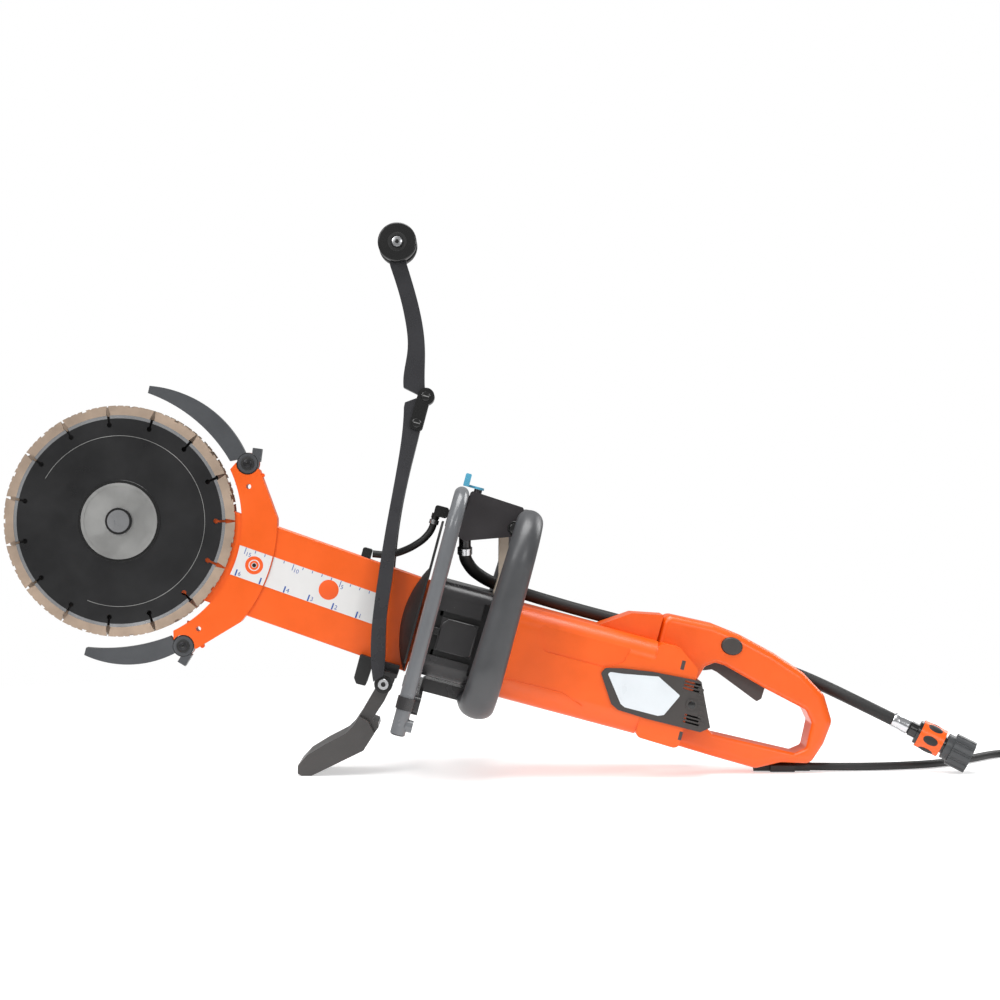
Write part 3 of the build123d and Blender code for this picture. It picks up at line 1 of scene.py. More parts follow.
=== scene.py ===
"""Looks of a twin-blade electric concrete cut-off saw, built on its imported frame.

The frame's own nodes keep their shapes and get finishes. Each class below adds the small visible pieces of
one sub-assembly: bands, marks, bolt heads, caps, ribs and the two free cords. Lengths inside a class are in
millimetres, and MM turns them to metres in the row frame.
"""
from __future__ import annotations

import json
import logging
import math
from dataclasses import dataclass
from enum import Enum

import bmesh
import bpy
from mathutils import Matrix, Vector


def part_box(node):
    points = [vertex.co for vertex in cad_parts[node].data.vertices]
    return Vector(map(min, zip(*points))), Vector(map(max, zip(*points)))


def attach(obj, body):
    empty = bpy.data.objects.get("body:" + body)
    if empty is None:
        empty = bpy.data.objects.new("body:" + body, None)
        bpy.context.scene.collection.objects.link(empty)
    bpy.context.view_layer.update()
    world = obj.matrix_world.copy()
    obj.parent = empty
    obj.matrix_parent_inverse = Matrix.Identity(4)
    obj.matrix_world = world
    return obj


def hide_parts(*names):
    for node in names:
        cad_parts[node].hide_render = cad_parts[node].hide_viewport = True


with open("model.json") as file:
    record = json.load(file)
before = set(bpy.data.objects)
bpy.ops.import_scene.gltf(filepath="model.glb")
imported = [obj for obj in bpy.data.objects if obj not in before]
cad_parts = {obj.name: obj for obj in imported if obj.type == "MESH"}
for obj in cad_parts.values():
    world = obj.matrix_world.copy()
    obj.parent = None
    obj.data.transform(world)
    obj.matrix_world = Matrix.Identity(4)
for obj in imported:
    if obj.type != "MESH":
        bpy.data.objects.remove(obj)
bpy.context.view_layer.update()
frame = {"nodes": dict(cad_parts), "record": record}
LOG = logging.getLogger("cut_off_saw")
MM = 0.001
ROOT = "frame"
PATCH_SCALE = 28.0  # tint patches per metre
PATCH_LOW = 0.3
PATCH_HIGH = 0.7
FINE_DETAIL = 2.0
INCH = 25.4
LABEL_FACE = 7.4  # the label's face on the arm, from the centre plane


# ---------------------------------------------------------------- finishes
class Grain(Enum):
    """How a surface was made, which sets the pattern that breaks it up."""

    SMOOTH = "smooth"
    MOULDED = "moulded"
    CAST = "cast"
    BRUSHED = "brushed"
    TURNED = "turned"
    GRIT = "grit"


@dataclass(frozen=True)
class Finish:
    """One real material with its colour and surface.

    Attributes:
        name: the material's common name and how it was made.
        colour: sRGB hex.
        roughness: the mean roughness.
        metallic: 1 for a bare metal.
        grain: how the surface was made.
        grain_mm: the real size of the grain.
        height_mm: how deep the grain is.
        mottle: how much the colour varies.
        coat: the strength of a clear top layer.
    """

    name: str
    colour: str
    roughness: float
    metallic: float = 0.0
    grain: Grain = Grain.SMOOTH
    grain_mm: float = 1.0
    height_mm: float = 0.0
    mottle: float = 0.05
    coat: float = 0.0


# powder coat on aluminium: even, slightly orange-peeled and semi-gloss
ORANGE_PAINT = Finish("powder_coated_aluminium", "#E85A04", 0.36, grain=Grain.CAST, grain_mm=1.6,
                      height_mm=0.02, mottle=0.05, coat=0.05)
# glass-filled nylon: satin with a fine moulded texture
ORANGE_NYLON = Finish("moulded_orange_nylon", "#E65903", 0.34, grain=Grain.MOULDED, grain_mm=0.9,
                      height_mm=0.02, mottle=0.05, coat=0.08)
# painted magnesium casting: satin charcoal with a pebbled skin
GREY_CASTING = Finish("painted_magnesium_casting", "#2B2A2B", 0.24, grain=Grain.CAST, grain_mm=1.3,
                      height_mm=0.04, mottle=0.10)
# moulded grey nylon: duller than the castings
GREY_NYLON = Finish("moulded_grey_nylon", "#3A3634", 0.42, grain=Grain.MOULDED, grain_mm=0.8,
                    height_mm=0.03, mottle=0.08)
# painted steel guide: neutral charcoal, satin
GUIDE_PAINT = Finish("charcoal_painted_steel", "#2E2E31", 0.28, grain=Grain.CAST, grain_mm=1.4,
                     height_mm=0.02, mottle=0.08, coat=0.1)
# glass-filled nylon guard: mid grey and satin
GUARD_NYLON = Finish("moulded_mid_grey_nylon", "#45474A", 0.36, grain=Grain.MOULDED, grain_mm=0.9,
                     height_mm=0.02, mottle=0.08)
# moulded rubber sheet: black and matt
SHEET_RUBBER = Finish("matt_black_rubber_sheet", "#0F0F0F", 0.62, grain=Grain.MOULDED, grain_mm=1.2,
                      height_mm=0.02)
# grey-brown nylon of the trigger
TRIGGER_NYLON = Finish("moulded_brown_grey_nylon", "#3F3836", 0.42, grain=Grain.MOULDED, grain_mm=0.8,
                       height_mm=0.02)
# blackened screw steel: dark and satin
BLACK_SCREW = Finish("blackened_screw_steel", "#38383A", 0.35, metallic=0.8, mottle=0.08)
# acetal: black, slippery and glossy
BLACK_ACETAL = Finish("moulded_black_acetal", "#121212", 0.22, grain=Grain.SMOOTH, mottle=0.05, coat=0.3)
# nitrile rubber: black and nearly matt
BLACK_RUBBER = Finish("nitrile_rubber", "#161616", 0.55, grain=Grain.MOULDED, grain_mm=1.0, height_mm=0.02)
# soft grip rubber: dark grey, matt, with a fine grain
GRIP_RUBBER = Finish("soft_grip_rubber", "#434446", 0.36, grain=Grain.MOULDED, grain_mm=0.9, height_mm=0.04,
                     mottle=0.10)
# powder-coated steel tube: mid grey with broad soft highlights
HOOP_PAINT = Finish("powder_coated_steel_tube", "#66686B", 0.24, grain=Grain.CAST, grain_mm=1.5,
                    height_mm=0.015, mottle=0.08, coat=0.2)
# blackened blade steel: dark, satin, with faint turning marks
BLADE_STEEL = Finish("blackened_saw_steel", "#252526", 0.32, metallic=0.35, grain=Grain.TURNED, grain_mm=1.2,
                     height_mm=0.006, mottle=0.16)
# sintered diamond segment: gritty, dull bronze-pink
DIAMOND_BOND = Finish("sintered_diamond_bond", "#A08D7C", 0.75, metallic=0.15, grain=Grain.GRIT, grain_mm=0.9,
                      height_mm=0.14, mottle=0.22)
# turned plain steel: grey with fine rings
TURNED_STEEL = Finish("turned_steel", "#B4B4B2", 0.36, metallic=1.0, grain=Grain.TURNED, grain_mm=0.8,
                      height_mm=0.006, mottle=0.10)
# zinc-plated steel: bright, slightly blue
ZINC_STEEL = Finish("zinc_plated_steel", "#C9CACC", 0.22, metallic=1.0, grain=Grain.SMOOTH, mottle=0.06)
# printed polyester film: off-white and satin
LABEL_FILM = Finish("printed_polyester_film", "#D6D5D4", 0.40, grain=Grain.SMOOTH, mottle=0.03)
# blank polyester name plate: cooler white
PLATE_FILM = Finish("blank_polyester_plate", "#D3D9DD", 0.32, grain=Grain.SMOOTH, mottle=0.03)
# screen ink: flat blue and orange
BLUE_INK = Finish("blue_screen_ink", "#1B4A98", 0.5, mottle=0.02)
ORANGE_INK = Finish("orange_screen_ink", "#E65508", 0.5, mottle=0.02)
# moulded acetal tap: light blue and glossy
TAP_BLUE = Finish("moulded_blue_acetal", "#5CB2D2", 0.28, mottle=0.04, coat=0.2)
# aged nylon strut: warm grey
STRUT_NYLON = Finish("moulded_beige_nylon", "#B5AA9A", 0.50, grain=Grain.MOULDED, grain_mm=0.9,
                      height_mm=0.03)
# glass-filled nylon valve body: brown-black
VALVE_NYLON = Finish("moulded_black_nylon", "#2E2B2D", 0.34, grain=Grain.MOULDED, grain_mm=0.8,
                     height_mm=0.03, mottle=0.10)
# enamelled copper wire: reddish and shiny
COPPER_WIRE = Finish("enamelled_copper_wire", "#A8572B", 0.35, metallic=0.8, mottle=0.15)
# varnished electrical steel: dark grey
LAMINATION = Finish("varnished_lamination", "#4C4C4E", 0.5, metallic=0.6, grain=Grain.BRUSHED, grain_mm=0.5,
                    height_mm=0.03)
# epoxy board: green and satin
BOARD_EPOXY = Finish("green_epoxy_board", "#1E5A34", 0.4, mottle=0.05)
# painted steel foot: warm grey, satin
FOOT_PAINT = Finish("painted_steel_plate", "#3E3C3B", 0.34, grain=Grain.CAST, grain_mm=1.8, height_mm=0.03,
                    mottle=0.12)
# acetal nipple: mid grey
ADAPTOR_GREY = Finish("moulded_grey_acetal", "#3A3C3E", 0.38, grain=Grain.MOULDED, grain_mm=0.8,
                      height_mm=0.02)

NODE_FINISH: dict[str, Finish] = {
    "arm_housing": ORANGE_PAINT, "arm_cover": ORANGE_PAINT, "guard_plate": ORANGE_PAINT,
    "scale_label": LABEL_FILM, "ball_bearings": ZINC_STEEL, "drive_belt": BLACK_RUBBER,
    "gear_housing": GREY_CASTING, "bearing_flange": TURNED_STEEL, "motor_housing": ORANGE_NYLON,
    "stator": COPPER_WIRE, "brush_carrier": BLACK_ACETAL, "handle_shell_left": ORANGE_NYLON,
    "handle_shell_right": ORANGE_NYLON, "vent_panel_left": GREY_NYLON, "vent_panel_right": GREY_NYLON,
    "name_plates": PLATE_FILM, "switch_unit": BLACK_ACETAL, "control_board": BOARD_EPOXY,
    "return_springs": ZINC_STEEL, "cable_gland": BLACK_RUBBER, "power_cable": BLACK_RUBBER,
    "mains_plug": BLACK_RUBBER, "grip_hoop": GRIP_RUBBER, "hand_guard_hoop": HOOP_PAINT,
    "hoop_bracket": GREY_CASTING, "valve_block": VALVE_NYLON, "hoop_strut": STRUT_NYLON,
    "hose_fittings": BLACK_ACETAL, "front_hose": BLACK_RUBBER, "rear_hose": BLACK_RUBBER,
    "hose_clamps": ZINC_STEEL, "splash_guard": SHEET_RUBBER, "case_screws": ZINC_STEEL,
    "guide_bracket": GREY_CASTING, "guide_frame": GUIDE_PAINT, "guide_hinge": BLACK_ACETAL,
    "stop_block": BLACK_RUBBER, "inlet_hose": BLACK_RUBBER, "connector_body": ORANGE_NYLON,
    "connector_core": BLACK_ACETAL, "tap_adaptor": ADAPTOR_GREY, "blade_near": BLADE_STEEL,
    "blade_far": BLADE_STEEL, "blade_segments": DIAMOND_BOND, "blade_flanges": TURNED_STEEL,
    "blade_spindle": TURNED_STEEL, "flange_bolt": ZINC_STEEL, "drive_shaft": TURNED_STEEL,
    "bevel_gear": TURNED_STEEL, "rotor_shaft": TURNED_STEEL, "rotor_core": LAMINATION,
    "cooling_fan": GREY_NYLON, "trigger": TRIGGER_NYLON, "lock_button": GREY_NYLON, "tap_lever": TAP_BLUE,
    "guard_arm_upper": GUARD_NYLON, "guard_arm_lower": GUARD_NYLON, "guide_upper_arm": GUIDE_PAINT,
    "guide_wheels": BLACK_ACETAL, "foot": FOOT_PAINT,
}


def linear(colour: str, gain: float = 1.0) -> tuple[float, float, float, float]:
    """Turns an sRGB hex colour to a linear one.

    Args:
        colour: the colour as #RRGGBB.
        gain: how much lighter or darker to make it.

    Returns:
        Linear red, green, blue and 1.
    """
    parts = []
    for start in (1, 3, 5):
        value = int(colour[start:start + 2], 16) / 255
        value = value / 12.92 if value <= 0.04045 else ((value + 0.055) / 1.055) ** 2.4
        parts.append(min(1.0, value * gain))
    return (parts[0], parts[1], parts[2], 1.0)


class FinishShop:
    """Makes each finish's Blender material once."""

    def __init__(self) -> None:
        """Starts with no materials."""
        self.made: dict[str, bpy.types.Material] = {}

    @staticmethod
    def add(tree: bpy.types.NodeTree, kind: str, settings: dict | None = None,
            links: dict | None = None) -> bpy.types.Node:
        """Adds a node with its settings and links.

        Args:
            tree: the material's node tree.
            kind: the node's type name.
            settings: values by attribute name, or by input name where no attribute has it.
            links: output sockets by the name of the input that they feed.

        Returns:
            The new node.
        """
        node = tree.nodes.new(kind)
        for key, value in (settings or {}).items():
            if hasattr(node, key):
                setattr(node, key, value)
            else:
                node.inputs[key].default_value = value
        for key, output in (links or {}).items():
            tree.links.new(output, node.inputs[key])
        return node

    def material(self, finish: Finish) -> bpy.types.Material:
        """Makes a finish's material, or returns the one made before.

        Args:
            finish: the finish.

        Returns:
            Its material.
        """
        if finish.name in self.made:
            return self.made[finish.name]
        made = bpy.data.materials.new(finish.name)
        made.use_nodes = True
        tree = made.node_tree
        tree.nodes.clear()
        shader = self.add(tree, "ShaderNodeBsdfPrincipled", {"Metallic": finish.metallic})
        if finish.coat:
            shader.inputs["Coat Weight"].default_value = finish.coat
            shader.inputs["Coat Roughness"].default_value = 0.25
        place = self.add(tree, "ShaderNodeTexCoord")
        patch = self.add(tree, "ShaderNodeTexNoise", {"Scale": PATCH_SCALE, "Detail": 4.0, "Roughness": 0.6},
                         {"Vector": place.outputs["Object"]})
        tint = self.add(tree, "ShaderNodeValToRGB", links={"Fac": patch.outputs["Fac"]})
        tint.color_ramp.elements[0].position = PATCH_LOW
        tint.color_ramp.elements[0].color = linear(finish.colour, 1 - finish.mottle)
        tint.color_ramp.elements[1].position = PATCH_HIGH
        tint.color_ramp.elements[1].color = linear(finish.colour, 1 + finish.mottle)
        tree.links.new(tint.outputs["Color"], shader.inputs["Base Color"])
        gloss = self.add(tree, "ShaderNodeMapRange",
                         {"From Min": PATCH_LOW, "From Max": PATCH_HIGH,
                          "To Min": max(0.05, finish.roughness - 0.05), "To Max": finish.roughness + 0.06},
                         {"Value": patch.outputs["Fac"]})
        tree.links.new(gloss.outputs["Result"], shader.inputs["Roughness"])
        if finish.height_mm:
            height = self.relief(tree, finish, place)
            bump = self.add(tree, "ShaderNodeBump", {"Strength": 0.8, "Distance": finish.height_mm * MM},
                            {"Height": height})
            tree.links.new(bump.outputs["Normal"], shader.inputs["Normal"])
        self.add(tree, "ShaderNodeOutputMaterial", links={"Surface": shader.outputs["BSDF"]})
        self.made[finish.name] = made
        return made

    def relief(self, tree: bpy.types.NodeTree, finish: Finish,
               place: bpy.types.Node) -> bpy.types.NodeSocket:
        """Adds the pattern that gives a finish its grain.

        Args:
            tree: the material's node tree.
            finish: the finish.
            place: the texture coordinate node.

        Returns:
            The socket with the grain's height.
        """
        scale = 1.0 / (finish.grain_mm * MM)
        if finish.grain is Grain.TURNED:
            # rings round the hub come from bands of distance to the blade's axis
            hub = joint_point("blade_spin")
            moved = self.add(tree, "ShaderNodeVectorMath", {"operation": "SUBTRACT"},
                             {0: place.outputs["Object"]})
            moved.inputs[1].default_value = hub
            flat = self.add(tree, "ShaderNodeVectorMath", {"operation": "MULTIPLY"}, {0: moved.outputs[0]})
            flat.inputs[1].default_value = (1.0, 0.0, 1.0)
            radius = self.add(tree, "ShaderNodeVectorMath", {"operation": "LENGTH"}, {0: flat.outputs[0]})
            rings = self.add(tree, "ShaderNodeTexNoise",
                             {"noise_dimensions": "1D", "Scale": scale, "Detail": FINE_DETAIL},
                             {"W": radius.outputs["Value"]})
            return rings.outputs["Fac"]
        if finish.grain is Grain.BRUSHED:
            stretched = self.add(tree, "ShaderNodeMapping", {"Scale": (0.08, 1.0, 1.0)},
                                 {"Vector": place.outputs["Object"]})
            lines = self.add(tree, "ShaderNodeTexNoise", {"Scale": scale, "Detail": FINE_DETAIL},
                             {"Vector": stretched.outputs["Vector"]})
            return lines.outputs["Fac"]
        if finish.grain is Grain.GRIT:
            grit = self.add(tree, "ShaderNodeTexVoronoi", {"Scale": scale},
                            {"Vector": place.outputs["Object"]})
            return grit.outputs["Distance"]
        pebble = self.add(tree, "ShaderNodeTexNoise", {"Scale": scale, "Detail": 3.0, "Roughness": 0.55},
                          {"Vector": place.outputs["Object"]})
        return pebble.outputs["Fac"]


# ---------------------------------------------------------------- places
def joint_point(name: str) -> Vector:
    """Finds a joint's place.

    Args:
        name: the joint's name.

    Returns:
        Its point in the row frame, in metres.
    """
    joints = frame["record"]["behaviour"]["joints"]
    return Vector(next(joint["pos_m"] for joint in joints if joint["name"] == name))


@dataclass(frozen=True)
class SideFrame:
    """A side view's axes: x runs to the rear along a sub-assembly, z is up from it, and side is to the left.

    Attributes:
        origin: the frame's origin, in metres.
        tilt: how far x slopes down to the rear, in degrees.
    """

    origin: Vector
    tilt: float

    @property
    def along(self) -> Vector:
        """The direction of x in the row frame."""
        return Vector((math.cos(math.radians(self.tilt)), 0.0, -math.sin(math.radians(self.tilt))))

    @property
    def up(self) -> Vector:
        """The direction of z in the row frame."""
        return Vector((math.sin(math.radians(self.tilt)), 0.0, math.cos(math.radians(self.tilt))))

    def at(self, x: float, z: float, side: float = 0.0) -> Vector:
        """Turns a place in the side view to the row frame.

        Args:
            x: millimetres to the rear.
            z: millimetres up.
            side: millimetres to the left of the centre plane.

        Returns:
            The point in the row frame, in metres.
        """
        return self.origin + (self.along * x + self.up * z) * MM + Vector((0.0, -side * MM, 0.0))


HUB = joint_point("blade_spin")
DRIVE = joint_point("drive_spin")
ARM = SideFrame(HUB, math.degrees(math.atan2(HUB.z - DRIVE.z, DRIVE.x - HUB.x)))
BODY_TILT = 15.0  # how far the motor axis slopes down to the rear
BODY = SideFrame(DRIVE, BODY_TILT)


def half_width(node: str) -> float:
    """The distance in millimetres from the centre plane to a node's left side."""
    return -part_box(node)[0][1] / MM


# ---------------------------------------------------------------- making pieces
class Bench:
    """Makes pieces, dresses them and puts them on their bodies."""

    def __init__(self) -> None:
        """Starts with an empty finish shop."""
        self.shop = FinishShop()
        self.count = 0

    def keep(self, piece: bpy.types.Object, finish: Finish, body: str, slot: str) -> bpy.types.Object:
        """Gives a piece its finish and its body.

        Args:
            piece: the new object.
            finish: its finish.
            body: the body that it rides on.
            slot: the record's material slot; not used.

        Returns:
            The same object.
        """
        piece.data.materials.clear()
        piece.data.materials.append(self.shop.material(finish))
        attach(piece, body)
        self.count += 1
        return piece

    def solid(self, name: str, build: bmesh.types.BMesh, bevel: float = 0.0,
              smooth: float = 35.0) -> bpy.types.Object:
        """Turns a bmesh to an object with soft edges.

        Args:
            name: the piece's name.
            build: the shape, which is freed.
            bevel: the width of its bevel, in millimetres.
            smooth: the angle below which edges shade smooth, in degrees.

        Returns:
            The new object.
        """
        bmesh.ops.remove_doubles(build, verts=build.verts, dist=1e-6)
        bmesh.ops.recalc_face_normals(build, faces=build.faces)
        mesh = bpy.data.meshes.new(name)
        build.to_mesh(mesh)
        build.free()
        piece = bpy.data.objects.new(name, mesh)
        bpy.context.scene.collection.objects.link(piece)
        mesh.shade_smooth()
        mesh.set_sharp_from_angle(angle=math.radians(smooth))
        if bevel:
            rounding = piece.modifiers.new("edge", "BEVEL")
            rounding.width = bevel * MM
            rounding.segments = 2
            rounding.limit_method = "ANGLE"
        return piece

    def prism(self, name: str, at: SideFrame, points: list[tuple[float, float]], low: float, high: float,
              bevel: float = 0.0) -> bpy.types.Object:
        """Makes a flat piece from a side outline.

        Args:
            name: the piece's name.
            at: the side view that the outline is drawn in.
            points: the outline, in millimetres.
            low: the distance of its inner face to the left of the centre plane.
            high: the distance of its outer face.
            bevel: the width of its bevel.

        Returns:
            The new object.
        """
        build = bmesh.new()
        inner = [build.verts.new(at.at(x, z, low)) for x, z in points]
        outer = [build.verts.new(at.at(x, z, high)) for x, z in points]
        build.faces.new(inner)
        build.faces.new(list(reversed(outer)))
        for index in range(len(points)):
            after = (index + 1) % len(points)
            build.faces.new((inner[index], outer[index], outer[after], inner[after]))
        return self.solid(name, build, bevel)

    def turned(self, name: str, centre: Vector, axis: Vector, profile: list[tuple[float, float]],
               steps: int = 48) -> bpy.types.Object:
        """Makes a round piece from a profile.

        Args:
            name: the piece's name.
            centre: the point that the profile's distances start from.
            axis: the direction that they run in.
            profile: distance and radius pairs in millimetres, closed where both ends have radius 0.
            steps: how many steps go round.

        Returns:
            The new object.
        """
        axis = axis.normalized()
        across = axis.orthogonal().normalized()
        second = axis.cross(across)
        build = bmesh.new()
        rings = []
        for distance, radius in profile:
            base = centre + axis * distance * MM
            if radius == 0:
                rings.append([build.verts.new(base)])
                continue
            turns = [math.tau * step / steps for step in range(steps)]
            rings.append([build.verts.new(base + (across * math.cos(a) + second * math.sin(a)) * radius * MM)
                          for a in turns])
        for first, last in zip(rings, rings[1:]):
            for step in range(steps):
                after = (step + 1) % steps
                corners = [first[step % len(first)], first[after % len(first)],
                           last[after % len(last)], last[step % len(last)]]
                unique = list(dict.fromkeys(corners))
                if len(unique) > 2:
                    build.faces.new(unique)
        return self.solid(name, build)

    def disc(self, name: str, at: SideFrame, centre: tuple[float, float], radius: float, low: float,
             high: float, soft: float = 0.3, steps: int = 48) -> bpy.types.Object:
        """Makes a round cap whose outer edge is rounded off.

        Args:
            name: the piece's name.
            at: the side view.
            centre: its centre in that view.
            radius: its radius.
            low: the distance of its hidden face to the left.
            high: the distance of its outer face.
            soft: the size of the rounded edge.
            steps: how many steps go round.

        Returns:
            The new object.
        """
        side = 1 if high > low else -1
        depth = abs(high - low)
        profile = [(0, 0), (0, radius), (depth - soft, radius), (depth - soft * 0.3, radius - soft * 0.3),
                   (depth, radius - soft), (depth, 0)]
        return self.turned(name, at.at(*centre, low), Vector((0, -side, 0)), profile, steps)

    def ring(self, name: str, at: SideFrame, centre: tuple[float, float], outer: float, inner: float,
             low: float, high: float, steps: int = 64) -> bpy.types.Object:
        """Makes a flat ring.

        Args:
            name: the piece's name.
            at: the side view.
            centre: its centre in that view.
            outer: its outer radius.
            inner: its inner radius.
            low: the distance of its hidden face to the left.
            high: the distance of its outer face.
            steps: how many steps go round.

        Returns:
            The new object.
        """
        side = 1 if high > low else -1
        depth = abs(high - low)
        soft = min(0.2, depth / 3)
        profile = [(0, inner), (0, outer), (depth - soft, outer), (depth, outer - soft), (depth, inner),
                   (0, inner)]
        return self.turned(name, at.at(*centre, low), Vector((0, -side, 0)), profile, steps)

    def arcs(self, name: str, at: SideFrame, spans: list[tuple[float, float]], outer: float, inner: float,
             low: float, high: float, turn: float = 0.0) -> bpy.types.Object:
        """Makes ring pieces about a side view's origin.

        Args:
            name: the piece's name.
            at: the side view.
            spans: the start and end angle of each piece, in degrees.
            outer: the outer radius.
            inner: the inner radius.
            low: the distance of the hidden face to the left.
            high: the distance of the outer face.
            turn: an angle added to every span.

        Returns:
            The new object.
        """
        build = bmesh.new()
        for start, end in spans:
            count = max(2, int(abs(end - start) / 3))
            angles = [math.radians(turn + start + (end - start) * step / count) for step in range(count + 1)]
            rows = [[build.verts.new(at.at(radius * math.cos(a), radius * math.sin(a), side)) for a in angles]
                    for radius, side in ((inner, low), (outer, low), (outer, high), (inner, high))]
            for row in range(4):
                following = (row + 1) % 4
                for step in range(count):
                    build.faces.new((rows[row][step], rows[row][step + 1], rows[following][step + 1],
                                     rows[following][step]))
            build.faces.new([row[0] for row in rows])
            build.faces.new([row[-1] for row in rows])
        return self.solid(name, build)

    def boxes(self, name: str, at: SideFrame, blocks: list[tuple[float, float, float, float]], low: float,
              high: float, bevel: float = 0.0) -> bpy.types.Object:
        """Makes one piece of several flat blocks.

        Args:
            name: the piece's name.
            at: the side view.
            blocks: the low x, high x, low z and high z of each block.
            low: the distance of the hidden faces to the left.
            high: the distance of the outer faces.
            bevel: the width of their bevels.

        Returns:
            The new object.
        """
        build = bmesh.new()
        for x0, x1, z0, z1 in blocks:
            corners = [(x0, z0), (x1, z0), (x1, z1), (x0, z1)]
            inner = [build.verts.new(at.at(x, z, low)) for x, z in corners]
            outer = [build.verts.new(at.at(x, z, high)) for x, z in corners]
            build.faces.new(inner)
            build.faces.new(list(reversed(outer)))
            for index in range(4):
                after = (index + 1) % 4
                build.faces.new((inner[index], outer[index], outer[after], inner[after]))
        return self.solid(name, build, bevel)

    def cord(self, name: str, points: list[tuple[float, float, float]], diameter: float) -> bpy.types.Object:
        """Makes a smooth cord through its route.

        Args:
            name: the piece's name.
            points: the route's control points, in millimetres.
            diameter: the cord's diameter, in millimetres.

        Returns:
            The curve object.
        """
        curve = bpy.data.curves.new(name, "CURVE")
        curve.dimensions = "3D"
        curve.bevel_depth = diameter / 2 * MM
        curve.bevel_resolution = 6
        curve.use_fill_caps = True
        curve.resolution_u = 24
        spline = curve.splines.new("NURBS")
        spline.points.add(len(points) - 1)
        for knot, point in zip(spline.points, points):
            knot.co = (*(Vector(point) * MM), 1.0)
        spline.order_u = 3
        spline.use_endpoint_u = True
        piece = bpy.data.objects.new(name, curve)
        bpy.context.scene.collection.objects.link(piece)
        return piece


# ---------------------------------------------------------------- sub-assemblies
@dataclass
class BladeSet:
    """The two diamond blades, their flanges and the clamp bolt."""

    bench: Bench
    slots: int = 15
    band_outer: float = 105.5
    band_inner: float = 102.3
    scribe_radius: float = 85.0
    slot_half_angle: float = 0.75
    flange_radius: float = 38.0
    bolt_ring: float = 13.4
    skin: float = 0.12

    def build(self) -> None:
        """Builds the bare bands, the scribed circle and the rings about the bolt."""
        core = half_width("blade_near")
        step = 360 / self.slots
        spans = [(step * n + self.slot_half_angle, step * (n + 1) - self.slot_half_angle)
                 for n in range(self.slots)]
        for side, turn, label in ((1, ARM.tilt, "near"), (-1, ARM.tilt + 9.0, "far")):
            band = self.bench.arcs(f"blade_band_{label}", ARM, spans, self.band_outer, self.band_inner,
                                   side * (core - self.skin), side * (core + self.skin), turn)
            self.bench.keep(band, ZINC_STEEL, "blade", "plain_steel")
            scribe = self.bench.arcs(f"blade_scribe_{label}", ARM, [(-112, 150)], self.scribe_radius + 0.25,
                                     self.scribe_radius - 0.25, side * (core - self.skin),
                                     side * (core + self.skin / 3), turn)
            self.bench.keep(scribe, TURNED_STEEL, "blade", "plain_steel")
            washer = self.bench.ring(f"blade_washer_{label}", ARM, (0, 0), self.flange_radius + 3,
                                     self.flange_radius - 0.2, side * core, side * (core + 0.8))
            self.bench.keep(washer, BLACK_ACETAL, "blade", "black_plastic")
        face = half_width("flange_bolt")
        for side, label in ((1, "near"), (-1, "far")):
            collar = self.bench.ring(f"bolt_collar_{label}", ARM, (0, 0), self.bolt_ring, 11.1,
                                     side * (face - 3.9), side * (face - 1.7))
            self.bench.keep(collar, BLACK_ACETAL, "blade", "black_plastic")


